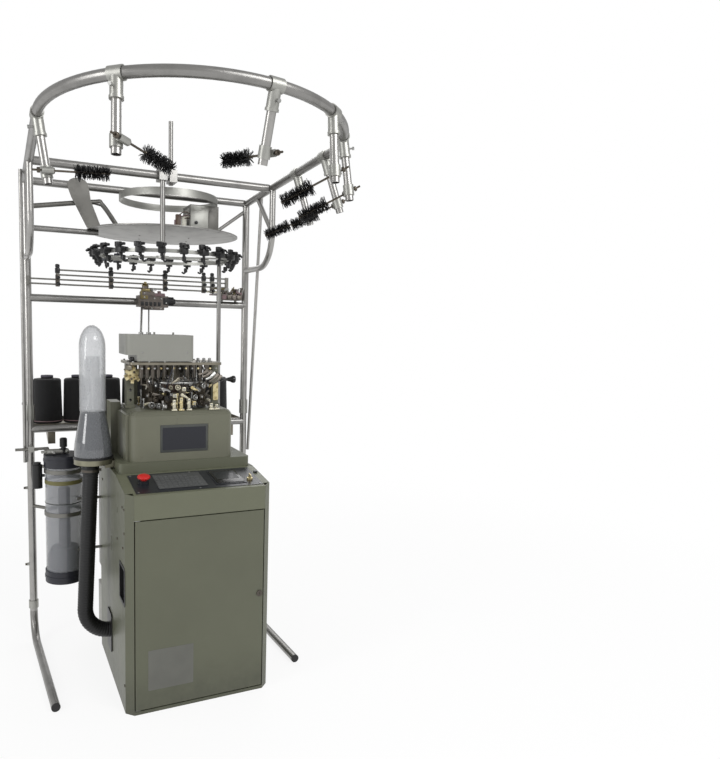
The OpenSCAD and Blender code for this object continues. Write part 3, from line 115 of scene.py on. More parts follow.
class Field:
    """A value that varies over a surface; arithmetic on it adds Math nodes."""

    def __init__(self, nodes, socket):
        self.nodes = nodes
        self.socket = socket

    def maths(self, operation, *values):
        return self.nodes.node("ShaderNodeMath", {"operation": operation}, dict(enumerate(values)))

    def __add__(self, other):
        return self.maths("ADD", self, other)

    def __sub__(self, other):
        return self.maths("SUBTRACT", self, other)

    def __rsub__(self, other):
        return self.maths("SUBTRACT", other, self)

    def __mul__(self, other):
        return self.maths("MULTIPLY", self, other)

    __radd__ = __add__
    __rmul__ = __mul__

    def above(self, limit, soft):
        """0 below the limit and 1 above it, with a soft edge."""
        return self.nodes.node(
            "ShaderNodeMapRange",
            {"interpolation_type": "SMOOTHSTEP"},
            {"Value": self, "From Min": limit - soft, "From Max": limit + soft},
        )

    def wave(self):
        return self.maths("SINE", self)


class Nodes:
    """A tree of shader nodes under construction."""

    def __init__(self, tree):
        self.tree = tree

    def node(self, kind, settings=None, inputs=None, output=0):
        """Adds a node: its type, its settings, then the values or links of its sockets."""
        made = self.tree.nodes.new(kind)
        for key, value in (settings or {}).items():
            setattr(made, key, value)
        for key, value in (inputs or {}).items():
            self.feed(made.inputs[key], value)
        return Field(self, made.outputs[output])

    def feed(self, socket, value):
        if isinstance(value, Field):
            self.tree.links.new(value.socket, socket)
        else:
            socket.default_value = value


class Finish(Nodes):
    """A node material under construction."""

    def __init__(self, name):
        self.material = bpy.data.materials.new(name)
        self.material.use_nodes = True
        super().__init__(self.material.node_tree)
        self.shader = self.tree.nodes["Principled BSDF"]

    def place(self):
        return self.node("ShaderNodeTexCoord", output="Object")

    def axis(self, name):
        return self.node("ShaderNodeSeparateXYZ", None, {0: self.place()}, output=name)

    def stretched(self, scale):
        return self.node("ShaderNodeMapping", None, {"Vector": self.place(), "Scale": scale})

    def noise(self, scale, detail, roughness=0.5, vector=None):
        """Noise on Object coordinates, in steps per metre."""
        inputs = {"Vector": vector or self.place(), "Scale": scale, "Detail": detail, "Roughness": roughness}
        return self.node("ShaderNodeTexNoise", None, inputs)

    def mix(self, factor, a, b):
        return self.node(
            "ShaderNodeMix", {"data_type": "RGBA"}, {"Factor": factor, 6: rgba(a), 7: rgba(b)}, output=2
        )

    def bump(self, height, strength, distance):
        normal = self.node(
            "ShaderNodeBump", None, {"Height": height, "Strength": strength, "Distance": distance}
        )
        self.feed(self.shader.inputs["Normal"], normal)

    def set(self, **values):
        """Feeds sockets of the shader, named with underscores for spaces."""
        for key, value in values.items():
            if key == "Base_Color":
                value = rgba(value)
            self.feed(self.shader.inputs[key.replace("_", " ")], value)


def rgba(colour):
    """Linear colour from an sRGB triple; links pass through."""
    if isinstance(colour, Field):
        return colour
    return tuple(c / 12.92 if c <= 0.04045 else ((c + 0.055) / 1.055) ** 2.4 for c in colour[:3]) + (1.0,)


def shade(colour, k):
    """The colour made lighter or darker."""
    return tuple(min(1.0, c * k) for c in colour[:3])


def enamel(name, colour, rough, dust=0.0):
    """Sprayed machine enamel: faint orange peel, mottling and rubbed patches."""
    f = Finish(name)
    broad = f.noise(3.5, 4, 0.6)
    patch = f.noise(22, 5, 0.65)
    tone = f.mix(broad, shade(colour, 0.93), shade(colour, 1.06))
    specks = f.noise(260, 2).above(0.70, 0.03)
    tone = f.mix(specks * 0.25, tone, shade(colour, 0.72))
    if dust:
        low = 1 - f.axis("Z").above(0.10, 0.10)
        tone = f.mix(low * patch * dust, tone, shade(colour, 0.62))
    f.set(Base_Color=tone, Roughness=patch * 0.18 + (rough - 0.08), Metallic=0.0)
    f.set(Coat_Weight=0.12, Coat_Roughness=0.25)
    f.bump(f.noise(700, 2), 0.12, 0.0003)
    return f.material


def steel(name, colour, rough, along, grime):
    """Drawn or turned steel with fine lines along one axis and faint stains."""
    f = Finish(name)
    scale = {"X": (3, 260, 260), "Y": (260, 3, 260), "Z": (260, 260, 3)}[along]
    lines = f.noise(4, 3, 0.6, f.stretched(scale))
    stain = f.noise(17, 5, 0.6)
    tone = f.mix(stain.above(0.58, 0.15) * grime, colour, shade(colour, 0.6))
    f.set(Base_Color=tone, Metallic=0.9, Roughness=lines * 0.14 + stain * 0.1 + (rough - 0.12))
    f.bump(lines, 0.06, 0.0002)
    return f.material


def cast_metal(name, colour, rough):
    """Enamelled casting: coarser grain under the paint."""
    f = Finish(name)
    broad = f.noise(5, 4, 0.6)
    grain = f.noise(330, 3, 0.6)
    tone = f.mix(broad, shade(colour, 0.88), shade(colour, 1.07))
    tone = f.mix(f.noise(40, 4, 0.7).above(0.66, 0.05) * 0.35, tone, shade(colour, 0.7))
    f.set(Base_Color=tone, Roughness=grain * 0.15 + (rough - 0.07), Coat_Weight=0.15, Coat_Roughness=0.3)
    f.bump(grain, 0.18, 0.0004)
    return f.material


def plastic(name, colour, rough, grain=500):
    """Moulded plastic or film with a fine grain."""
    f = Finish(name)
    fine = f.noise(grain, 2)
    tone = f.mix(f.noise(12, 4), shade(colour, 0.9), shade(colour, 1.12))
    f.set(Base_Color=tone, Roughness=fine * 0.16 + (rough - 0.08))
    f.bump(fine, 0.15, 0.0002)
    return f.material


def clear(name, tint, rough, alpha, edge=0.0):
    """Clear or tinted plastic that shows what is behind it, with painted shade that darkens its rims and
    makes them more opaque by view angle.
    """
    f = Finish(name)
    haze = f.noise(9, 4, 0.6, f.stretched((1, 1, 0.3)))
    scuff = f.noise(60, 3, 0.6, f.stretched((5, 5, 1))).above(0.62, 0.05)
    rim = f.node("ShaderNodeLayerWeight", None, {"Blend": 0.32}, output="Facing")
    tone = f.mix(haze, shade(tint, 0.92), shade(tint, 1.06))
    f.set(
        # Painted shade: by view angle, the rims take a darker tint and more opacity, scaled by the edge share
        Base_Color=f.mix(rim.above(0.45, 0.40) * edge, tone, shade(tint, 0.50)),
        Roughness=scuff * 0.25 + haze * 0.08 + rough,
        Alpha=scuff * 0.06 + haze * 0.12 + rim * (edge * 0.35) + (alpha - 0.06),
        Coat_Weight=1.0,
        Coat_Roughness=0.03,
        Coat_IOR=1.7,
    )
    f.material.surface_render_method = "BLENDED"
    return f.material


def brass_finish(name):
    """Dull brass plate with darker stains."""
    f = Finish(name)
    stain = f.noise(45, 4, 0.6)
    f.set(
        Base_Color=f.mix(stain.above(0.55, 0.1), (0.84, 0.79, 0.62), (0.62, 0.55, 0.38)),
        Metallic=0.8,
        Roughness=stain * 0.25 + 0.30,
    )
    f.bump(f.noise(400, 2), 0.08, 0.0002)
    return f.material


def wound_yarn(name, colour):
    """Cross-wound yarn: two families of slanting threads."""
    f = Finish(name)
    z, x, y = f.axis("Z"), f.axis("X"), f.axis("Y")
    rise, slant = 2600, 900
    up = (z * rise + x * slant + y * slant).wave()
    down = (z * rise - x * slant - y * slant).wave()
    threads = up.maths("MAXIMUM", up, down)
    tone = f.mix(threads * 0.5 + 0.5, shade(colour, 0.55), shade(colour, 1.9))
    f.set(Base_Color=tone, Roughness=0.85, Sheen_Weight=0.12)
    f.bump(threads, 0.5, 0.0006)
    return f.material


def hose_rubber(name):
    """Black hose wall with a little dust."""
    f = Finish(name)
    dust = f.noise(14, 4, 0.6)
    f.set(Base_Color=f.mix(dust, (0.018, 0.018, 0.022), (0.044, 0.044, 0.052)), Roughness=dust * 0.2 + 0.36)
    f.bump(f.noise(300, 2), 0.1, 0.0003)
    return f.material


def display_glass(name):
    """Dark display that is switched off."""
    f = Finish(name)
    tone = f.mix(f.noise(5, 2), (0.05, 0.06, 0.075), (0.09, 0.11, 0.135))
    f.set(Base_Color=tone, Roughness=0.38, Coat_Weight=0.15)
    return f.material


PAINTS = {}


def finishes(look):
    """Every named finish, made once."""
    if PAINTS:
        return PAINTS
    colours = (look.body_colour, look.head_colour, look.cover_colour, look.tube_colour)
    body, head, cover, tube = (tuple(colour) for colour in colours)
    PAINTS.update(
        body=enamel("machine_enamel", body, 0.46, dust=0.8),
        # Painted highlight: the cabinet enamel made lighter for the sloped console, a lit copy of the same
        # paint
        edge=enamel("machine_enamel_lit", shade(body, 1.1), 0.44),
        grey=enamel("housing_grey", (0.60, 0.60, 0.57), 0.5, dust=0.5),
        cover=enamel("cover_grey", cover, 0.5),
        head=cast_metal("head_enamel", head, 0.5),
        plate=steel("machined_plate", (0.52, 0.50, 0.45), 0.42, "X", 0.35),
        bright=steel("bright_steel", (0.64, 0.64, 0.63), 0.28, "Z", 0.25),
        dark=steel("oiled_steel", (0.37, 0.345, 0.31), 0.4, "Z", 0.4),
        tube=steel("stand_tube", tube, 0.34, "X", 0.3),
        post=steel("post_tube", shade(tube, 1.15), 0.3, "Z", 0.2),
        alu=steel("clamp_aluminium", (0.66, 0.66, 0.64), 0.42, "Z", 0.2),
        disc=steel("disc_sheet", (0.57, 0.565, 0.55), 0.42, "X", 0.3),
        brass=brass_finish("brass"),
        seat=steel("seat_ring", (0.55, 0.54, 0.47), 0.36, "X", 0.3),
        cream=steel("pale_zinc", (0.80, 0.78, 0.70), 0.38, "Z", 0.35),
        rack=steel("rack_rods", (0.50, 0.495, 0.475), 0.38, "X", 0.4),
        strip=steel("bracket_sheet", (0.46, 0.455, 0.44), 0.46, "Z", 0.45),
        # Soot-dark steel, which on the air cylinders and the other parts under the top plate is painted shade
        sooty=steel("soot_and_shade_steel", (0.37, 0.35, 0.325), 0.36, "Z", 0.5),
        feeder=steel("feeder_casting", (0.43, 0.405, 0.385), 0.45, "X", 0.5),
        mauve=plastic("cone_plastic", (0.47, 0.385, 0.395), 0.6),
        olive=plastic("filter_band", (0.405, 0.39, 0.225), 0.5),
        oldbrass=steel("old_brass", (0.52, 0.475, 0.34), 0.42, "X", 0.6),
        core=plastic("filter_core", (0.30, 0.29, 0.33), 0.7),
        black=plastic("black_plastic", (0.07, 0.07, 0.075), 0.42),
        gloss=plastic("black_gloss", (0.05, 0.05, 0.055), 0.22, 200),
        navy=plastic("navy_plastic", (0.125, 0.13, 0.165), 0.4),
        red=plastic("red_plastic", (0.72, 0.10, 0.08), 0.28),
        white=plastic("ivory_plastic", (0.82, 0.81, 0.76), 0.4),
        brown=plastic("brown_plastic", (0.35, 0.27, 0.22), 0.4),
        blue=plastic("blue_plate", (0.075, 0.085, 0.125), 0.34),
        frame_grey=plastic("plate_frame", (0.25, 0.26, 0.25), 0.4),
        film=plastic("fascia_film", (0.105, 0.115, 0.135), 0.34, 900),
        pad=plastic("keypad_film", (0.275, 0.28, 0.28), 0.46, 900),
        key=plastic("keypad_key", (0.305, 0.31, 0.31), 0.5),
        label=plastic("blank_label", (0.365, 0.367, 0.345), 0.55),
        glass=display_glass("display_glass"),
        yarn=wound_yarn("wound_yarn", (0.030, 0.030, 0.035)),
        hose=hose_rubber("hose_rubber"),
        # Both clear plastics get painted shade at their rims through the edge share
        clear=clear("clear_plastic", (0.82, 0.83, 0.84), 0.05, 0.30, edge=1.0),
        smoke=clear("smoked_plastic", (0.37, 0.38, 0.395), 0.08, 0.80, edge=0.6),
        milk=clear("translucent_plastic", (0.565, 0.575, 0.595), 0.3, 0.46),
    )
    return PAINTS


NODE_FINISH = {
    # The console takes the lighter, lit copy of the cabinet enamel as painted highlight
    "cabinet_shell": "body", "rear_boxes": "grey", "console": "edge", "console_fascia": "film",
    "bed_plate": "body", "front_door": "body", "door_lock": "sooty", "hinge_pins": "bright",
    "estop_button": "red", "key_switch": "brass", "side_handle": "black", "drive_motor": "dark",
    "motor_pulley": "bright", "drive_belt": "black", "delivery_pipe": "bright", "head_casting": "head",
    "cam_ring": "dark", "needle_cylinder": "bright", "dial": "brown", "selector_units": "dark",
    "top_plate": "plate", "top_box": "cover", "head_columns": "head", "brass_plates": "brass",
    "lift_handle": "gloss", "finger_set_left": "bright", "finger_set_right": "bright",
    # The air cylinders under the top plate take the soot-dark steel as painted shade
    "air_cylinders": "sooty", "suction_dome": "clear", "suction_cone": "smoke", "suction_rings": "seat",
    "suction_seals": "black", "suction_hose": "hose", "canister": "milk", "canister_caps": "navy",
    "canister_bracket": "rack", "canister_fittings": "black", "regulator_knob": "black",
    "top_ring": "tube", "posts": "post", "floor_tubes": "tube", "cross_tubes": "tube",
    "side_braces": "post", "tube_plugs": "black", "tube_clamps": "alu", "drop_tubes": "post",
    "brushes": "black", "thumb_screws": "bright", "disc_hangers": "tube", "hoop": "alu",
    "disc_plate": "disc", "disc_brackets": "strip", "guide_ring": "alu", "yarn_guides": "black",
    "guide_rod_rack": "rack", "yarn_shelf": "plate", "yarn_packages": "yarn", "feeder_body": "feeder",
    "feeder_wheel": "black", "feed_tubes": "bright",
}


class Piece:
    """A bmesh being built in the row frame, in metres, that becomes one named object."""

    def __init__(self, name, finish, body=ROOT):
        self.name = name
        self.finish = finish if isinstance(finish, (list, tuple)) else [finish]
        self.body = body
        self.bm = bmesh.new()
        self.index = 0

    def _paint(self, faces):
        """Gives new faces the current finish."""
        for face in faces:
            face.material_index = self.index
            face.smooth = True

    def rod(self, p, q, r, r2=None, segments=16):
        """Round bar or cone between two points."""
        p, q = Vector(p), Vector(q)
        turn = Vector((0, 0, 1)).rotation_difference(q - p).to_matrix().to_4x4()
        before = set(self.bm.faces)
        bmesh.ops.create_cone(
            self.bm, cap_ends=True, segments=segments, radius1=r, radius2=r if r2 is None else r2,
            depth=(q - p).length, matrix=Matrix.Translation((p + q) / 2) @ turn,
        )
        self._paint(set(self.bm.faces) - before)

    def slab(self, lo, hi, bevel=0.0, turn=None):
        """Box from corner to corner, with rounded edges."""
        lo, hi = Vector(lo), Vector(hi)
        matrix = Matrix.Translation((lo + hi) / 2) @ Matrix.Diagonal((hi - lo).to_4d())
        if turn is not None:
            matrix = turn @ matrix
        before = set(self.bm.faces)
        made = bmesh.ops.create_cube(self.bm, size=1.0, matrix=matrix)
        if bevel:
            edges = list({e for v in made["verts"] for e in v.link_edges})
            bmesh.ops.bevel(
                self.bm, geom=edges, offset=bevel, offset_type="OFFSET", segments=2, profile=0.5,
                affect="EDGES", material=-1,
            )
        self._paint(set(self.bm.faces) - before)

    def slabs(self, origin, rows):
        """Boxes given as finish number, two corners from an origin, and edge radius."""
        for index, lo, hi, bevel in rows:
            self.index = index
            self.slab(near(origin, *lo), near(origin, *hi), bevel)

    def lathe(self, profile, base, along=(0, 0, 1), steps=32):
        """Turns a profile of (radius, height) pairs round an axis."""
        turn = Vector((0, 0, 1)).rotation_difference(Vector(along)).to_matrix().to_4x4()
        place = Matrix.Translation(base) @ turn
        verts = [self.bm.verts.new((r, 0, h)) for r, h in profile]
        edges = [self.bm.edges.new((a, b)) for a, b in zip(verts, verts[1:])]
        before = set(self.bm.faces)
        bmesh.ops.spin(
            self.bm, geom=verts + edges, cent=(0, 0, 0), axis=(0, 0, 1), dvec=(0, 0, 0),
            angle=2 * math.pi, steps=steps, use_merge=True, use_duplicate=False,
        )
        faces = list(set(self.bm.faces) - before)
        points = list({v for f in faces for v in f.verts})
        bmesh.ops.remove_doubles(self.bm, verts=points, dist=1e-6)
        faces = [f for f in set(self.bm.faces) - before if f.is_valid]
        points = list({v for f in faces for v in f.verts})
        bmesh.ops.recalc_face_normals(self.bm, faces=faces)
        bmesh.ops.transform(self.bm, matrix=place, verts=points)
        self._paint(faces)

    def sweep(self, points, radius, segments, radii=None, closed=False):
        """Round tube along a path; radii may change from point to point."""
        points = [Vector(p) for p in points]
        count = len(points)
        radii = radii or [radius] * count
        before = set(self.bm.faces)
        if closed:
            ahead = [(points[(i + 1) % count] - points[i - 1]).normalized() for i in range(count)]
        else:
            ahead = [
                (points[min(i + 1, count - 1)] - points[max(i - 1, 0)]).normalized() for i in range(count)
            ]
        side = ahead[0].orthogonal().normalized()
        rings = []
        for i, p in enumerate(points):
            side = (side - ahead[i] * side.dot(ahead[i])).normalized()
            up = ahead[i].cross(side)
            ring = bmesh.ops.create_circle(self.bm, segments=segments, radius=radii[i])["verts"]
            turn = Matrix((side, up, ahead[i])).transposed().to_4x4()
            bmesh.ops.transform(self.bm, matrix=Matrix.Translation(p) @ turn, verts=ring)
            rings.append(ring)
        pairs = list(zip(rings, rings[1:]))
        if closed:
            pairs.append((rings[-1], rings[0]))
        for a, b in pairs:
            if closed and a is rings[-1]:
                start = min(range(segments), key=lambda k: (b[k].co - a[0].co).length)
                b = b[start:] + b[:start]
            for k in range(segments):
                n = (k + 1) % segments
                self.bm.faces.new((a[k], a[n], b[n], b[k]))
        if not closed:
            self.bm.faces.new(list(reversed(rings[0])))
            self.bm.faces.new(rings[-1])
        self._paint(set(self.bm.faces) - before)

    def plate(self, outline, thickness, place, bevel=0.0):
        """Flat plate from an outline in its own XY plane, placed by a matrix."""
        before = set(self.bm.faces)
        verts = [self.bm.verts.new((x, y, 0)) for x, y in outline]
        face = self.bm.faces.new(verts)
        face.normal_update()
        if face.normal.z > 0:
            face.normal_flip()
        raised = bmesh.ops.extrude_face_region(self.bm, geom=[face])["geom"]
        top = [v for v in raised if isinstance(v, bmesh.types.BMVert)]
        bmesh.ops.translate(self.bm, vec=(0, 0, thickness), verts=top)
        if bevel:
            rim = [e for e in raised if isinstance(e, bmesh.types.BMEdge)]
            bmesh.ops.bevel(
                self.bm, geom=rim, offset=bevel, offset_type="OFFSET", segments=2, profile=0.5,
                affect="EDGES", material=-1,
            )
        faces = list(set(self.bm.faces) - before)
        bmesh.ops.transform(self.bm, matrix=place, verts=list({v for f in faces for v in f.verts}))
        self._paint(faces)

    def screw(self, at, along, r, h, slot=True):
        """Pan-head screw with a driver slot, head seated at a point."""
        along = Vector(along).normalized()
        self.lathe([(0, 0), (r, 0), (r, h * 0.55), (r * 0.75, h * 0.9), (0, h)], at, along, 12)
        if slot:
            side = along.orthogonal().normalized()
            keep = self.index
            self.index = min(1, len(self.finish) - 1)
            top = Vector(at) + along * h * 0.86
            turn = Matrix.Translation(top) @ Matrix((side, along.cross(side), along)).transposed().to_4x4()
            self.slab((-r * 0.7, -r * 0.12, 0), (r * 0.7, r * 0.12, h * 0.16), turn=turn)
            self.index = keep

    def done(self, replaces=(), sharp=35):
        """Makes the object, gives it its body and hides the solids it replaces."""
        mesh = bpy.data.meshes.new(self.name)
        self.bm.to_mesh(mesh)
        self.bm.free()
        mesh.set_sharp_from_angle(angle=math.radians(sharp))
        made = bpy.data.objects.new(self.name, mesh)
        bpy.context.scene.collection.objects.link(made)
        for key in self.finish:
            mesh.materials.append(PAINTS[key])
        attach(made, self.body)
        if replaces:
            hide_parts(*replaces)


def placed(at, ahead, up=(0, 0, 1)):
    """Matrix that puts local X along ahead and local Z as near to up as it can."""
    x = Vector(ahead).normalized()
    z = (Vector(up) - x * Vector(up).dot(x)).normalized()
    return Matrix.Translation(at) @ Matrix((x, z.cross(x), z)).transposed().to_4x4()


def upright(at):
    """Matrix that stands a plate up with its face to the front."""
    return Matrix.Translation(at) @ Matrix.Rotation(math.radians(90), 4, "X")


def near(origin, x, y, z):
    """Point given from an origin."""
    return origin[0] + x, origin[1] + y, origin[2] + z


def heading(angle):
    """Level direction at an angle in degrees."""
    return Vector((math.cos(math.radians(angle)), math.sin(math.radians(angle)), 0))


def at_head(angle, radius, z):
    """Point round the needle cylinder's axis."""
    return Vector((HEAD_X, HEAD_Y, z)) + heading(angle) * radius


def coil(piece, at, along, length, radius, wire, turns):
    """Coil spring that starts at a point and runs along an axis."""
    along = Vector(along).normalized()
    side = along.orthogonal().normalized()
    up = along.cross(side)
    per_turn = 9
    count = int(turns * per_turn)
    path = []
    for k in range(count + 1):
        a = math.radians(360 / per_turn * k)
        round_axis = (side * math.cos(a) + up * math.sin(a)) * radius
        path.append(Vector(at) + along * (length * k / count) + round_axis)
    piece.sweep(path, wire, 5)


def socket_screw(piece, at, along, r):
    """Cylinder-head screw with its hollow."""
    hollow = r * 0.55
    piece.lathe([(0, 0), (r, 0), (r, r), (hollow, r), (hollow, r * 0.5), (0, r * 0.5)], at, along, 12)


def lever(piece, place, length, width, thickness, crook):
    """Flat lever with a round pivot end, a waist and a crooked nose."""
    turns = [math.radians(a) for a in range(60, 301, 40)]
    heel = [(width * 0.7 * math.cos(a), width * 0.7 * math.sin(a)) for a in turns]
    nose = -width * 0.2 - crook
    lower = [(length * 0.55, -width * 0.35), (length * 0.86, -width * 0.45 - crook), (length, nose)]
    upper = [(length * 0.97, width * 0.15 - crook * 0.8), (length * 0.6, width * 0.4)]
    piece.plate(heel + lower + upper, thickness, place, thickness * 0.2)


def round_rect(w, d, r):
    """Outline of a rectangle with round corners."""
    steps = 5
    out = []
    for c, (sx, sy) in enumerate(((1, 1), (-1, 1), (-1, -1), (1, -1))):
        for i in range(steps + 1):
            a = math.radians(90 * c + 90 * i / steps)
            out.append((sx * (w / 2 - r) + r * math.cos(a), sy * (d / 2 - r) + r * math.sin(a)))
    return out


def curve_points(anchors, steps):
    """Smooth path through the anchors."""
    p = [Vector(a) for a in anchors]
    p = [p[0] * 2 - p[1]] + p + [p[-1] * 2 - p[-2]]
    out = []
    for i in range(1, len(p) - 2):
        for k in range(steps):
            t = k / steps
            a, b, c, d = p[i - 1], p[i], p[i + 1], p[i + 2]
            square = (2 * a - 5 * b + 4 * c - d) * t * t
            cube = (3 * b - a - 3 * c + d) * t ** 3
            out.append(0.5 * (2 * b + (c - a) * t + square + cube))
    out.append(p[-2])
    return out


def console_place(u, v, w):
    """Matrix of a point on the sloped console, u across and v up the slope, in metres."""
    return Matrix.Translation(DECK_EDGE) @ Matrix.Rotation(DECK_SLOPE, 4, "X") @ Matrix.Translation((u, v, w))


class FinishColours(bpy.types.PropertyGroup):
    body_colour: FloatVectorProperty(
        name="Cabinet enamel", description="Enamel of the cabinet, as sRGB", subtype="COLOR_GAMMA",
        default=(0.342, 0.350, 0.283), min=0, max=1,
    )
    head_colour: FloatVectorProperty(
        name="Head enamel", description="Enamel of the knitting head, as sRGB", subtype="COLOR_GAMMA",
        default=(0.397, 0.399, 0.335), min=0, max=1,
    )
    cover_colour: FloatVectorProperty(
        name="Cover enamel", description="Enamel of the top cover box, as sRGB", subtype="COLOR_GAMMA",
        default=(0.528, 0.529, 0.502), min=0, max=1,
    )
    tube_colour: FloatVectorProperty(
        name="Stand tube", description="Metal of the stand's tubes, as sRGB", subtype="COLOR_GAMMA",
        default=(0.57, 0.565, 0.555), min=0, max=1,
    )


class BrushSizes(bpy.types.PropertyGroup):
    bristle_count: IntProperty(
        name="Bristles", description="Bristles on one brush", default=430, min=100, max=1500,
    )
    bristle_width: FloatProperty(
        name="Bristle width", description="Thickness of one bristle", default=0.0029, min=0.0005, max=0.004,
        unit="LENGTH", subtype="DISTANCE",
    )
    brush_length: FloatProperty(
        name="Brush length", description="Length of the bristled part", default=0.103, min=0.08, max=0.2,
        unit="LENGTH", subtype="DISTANCE",
    )
    brush_radius: FloatProperty(
        name="Brush radius", description="Reach of the bristles from the wire", default=0.030, min=0.01,
        max=0.04, unit="LENGTH", subtype="DISTANCE",
    )


class HoseSizes(bpy.types.PropertyGroup):
    rib_pitch: FloatProperty(
        name="Rib pitch", description="Distance from rib to rib of the suction hose", default=0.0105,
        min=0.005, max=0.03, unit="LENGTH", subtype="DISTANCE",
    )
    rib_depth: FloatProperty(
        name="Rib depth", description="Depth of the valleys between ribs", default=0.0014, min=0.0005,
        max=0.008, unit="LENGTH", subtype="DISTANCE",
    )


class StageLight(bpy.types.PropertyGroup):
    key: FloatProperty(
        name="Key light", description="Power of the main lamp", default=95.0, min=0, max=500, unit="POWER",
    )
    sky: FloatProperty(
        name="Sky", description="Strength of the even light from all round", default=0.62, min=0, max=2,
    )


class KNIT_OT_node_finishes(bpy.types.Operator):
    """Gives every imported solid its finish"""

    bl_idname = "knit.node_finishes"
    bl_label = "Finish the packed solids"

    def execute(self, context):
        paints = finishes(context.scene.knit_colours)
        for name, node in NODES.items():
            node.data.materials.clear()
            node.data.materials.append(paints[NODE_FINISH[name]])
        return {"FINISHED"}


def drop_frame(drop):
    """Top point and axis of a drop tube, before the ring's slope."""
    angle, y, side, lean = drop[:4]
    if side:
        out = Vector((side, 0, 0))
        top = Vector((RING_CENTRE[0] + side * RING_RADIUS, y, RING_Z))
    else:
        out = heading(angle)
        top = Vector((*RING_CENTRE, RING_Z)) + out * RING_RADIUS
    axis = Vector((0, 0, -math.cos(math.radians(lean)))) + out * math.sin(math.radians(lean))
    return top, axis


def brush_stem(drop):
    """Start point and direction of a brush's stem."""
    top, axis = drop_frame(drop)
    az, dip = math.radians(drop[4]), math.radians(drop[5])
    along = Vector((math.cos(dip) * math.cos(az), math.cos(dip) * math.sin(az), -math.sin(dip)))
    side = axis.cross(along).normalized()
    start = top + axis * (DROP_LENGTH - CROSS_UP) + side * CROSS_OFF
    return RING_TURN @ start, RING_TURN.to_3x3() @ along


class KNIT_OT_brushes(bpy.types.Operator):
    """Makes the spiral bristle brushes on their twisted wire stems"""

    bl_idname = "knit.brushes"
    bl_label = "Bristle brushes"

    def execute(self, context):
        sizes = context.scene.knit_brush
        rng = random.Random(7)
        for number, drop in enumerate(DROPS):
            start, along = brush_stem(drop)
            brush = Piece(f"bristle_brush_{number + 1}", ["black", "dark"])
            self.stem(brush, sizes, start, along)
            self.bristles(brush, sizes, start, along, rng)
            brush.done(replaces=("brushes",), sharp=60)
        return {"FINISHED"}

    def stem(self, brush, sizes, start, along):
        """Twisted wires and collars of one brush."""
        steps, wire = 60, 0.0022
        side = along.orthogonal().normalized()
        up = along.cross(side)
        brush.index = 1
        brush.rod(start - along * 0.044, start + along * (0.082 + sizes.brush_length), 0.0033, segments=8)
        for strand in (0, math.pi):
            path = []
            for k in range(steps):
                t = 0.078 + (sizes.brush_length + 0.004) * k / (steps - 1)
                a = strand + k * 0.9
                path.append(start + along * t + (side * math.cos(a) + up * math.sin(a)) * wire)
            brush.sweep(path, wire, 5)
        collar = [(0, 0), (0.0075, 0), (0.0085, 0.002), (0.0085, 0.008), (0, 0.010)]
        for spot in (-0.030, 0.012):
            brush.lathe(collar, start + along * spot, along, 12)

    def bristles(self, brush, sizes, start, along, rng):
        """Bristles of one brush, on a spiral."""
        turns = 9.5
        side = along.orthogonal().normalized()
        up = along.cross(side)
        brush.index = 0
        for k in range(sizes.bristle_count):
            t = k / sizes.bristle_count
            a = t * 2 * math.pi * turns + rng.uniform(-0.35, 0.35) + (k % 2) * math.pi
            taper = math.sin(math.pi * min(1, t * 6)) * min(1, (1 - t) * 6 + 0.4)
            reach = sizes.brush_radius * (0.82 + 0.18 * taper)
            reach *= rng.uniform(0.76, 1.0)
            lean = rng.uniform(-0.22, 0.22)
            foot = start + along * (0.080 + sizes.brush_length * t)
            way = (side * math.cos(a) + up * math.sin(a) + along * lean).normalized()
            w = sizes.bristle_width / 2
            brush.rod(foot + way * 0.002, foot + way * reach, w, w * 0.6, segments=3)


class KNIT_OT_suction_hose(bpy.types.Operator):
    """Makes the ribbed suction hose with its cuffs"""

    bl_idname = "knit.suction_hose"
    bl_label = "Suction hose"

    def execute(self, context):
        sizes = context.scene.knit_hose
        lo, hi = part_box("suction_hose")
        y = (lo[1] + hi[1]) / 2
        r, bend = 0.030, 0.096
        foot_z, top_z = 0.174, 0.816
        x_foot, x_low, x_top = -0.2745, -0.366, -0.341
        steps = 12
        path = [Vector((x_foot, y, foot_z)), Vector((x_low + bend, y, foot_z))]
        for k in range(1, steps):
            a = math.radians(90 * k / steps)
            path.append(Vector((x_low + bend - bend * math.sin(a), y, foot_z + bend - bend * math.cos(a))))
        path.append(Vector((x_low, y, foot_z + bend)))
        path.append(Vector((x_top, y, top_z)))
        fine = []
        for a, b in zip(path, path[1:]):
            steps = max(1, round((b - a).length / (sizes.rib_pitch / 4)))
            fine += [a.lerp(b, k / steps) for k in range(steps)]
        fine.append(path[-1])
        travelled = 0.0
        radii = []
        for i, p in enumerate(fine):
            if i:
                travelled += (p - fine[i - 1]).length
            phase = 2 * math.pi * travelled / sizes.rib_pitch
            radii.append(r - sizes.rib_depth * (0.5 - 0.5 * math.cos(phase)) ** 1.5)
        hose = Piece("ribbed_hose", "hose")
        hose.sweep(fine, r, 24, radii)
        cuff = [
            (0, 0), (0.031, 0), (0.033, 0.002), (0.033, 0.034), (0.0315, 0.036), (0.0315, 0.040), (0, 0.040),
        ]
        hose.lathe(cuff, (x_top, y, 0.812), steps=32)
        hose.done(replaces=("suction_hose",), sharp=60)
        bands = Piece("hose_clips", "sooty")
        band = [(0.0332, 0), (0.0342, 0), (0.0342, 0.009), (0.0332, 0.009)]
        bands.lathe(band, (x_top, y, 0.822), steps=32)
        bands.slab((x_top + 0.030, y - 0.010, 0.822), (x_top + 0.040, y + 0.004, 0.831), 0.001)
        bands.done()
        return {"FINISHED"}


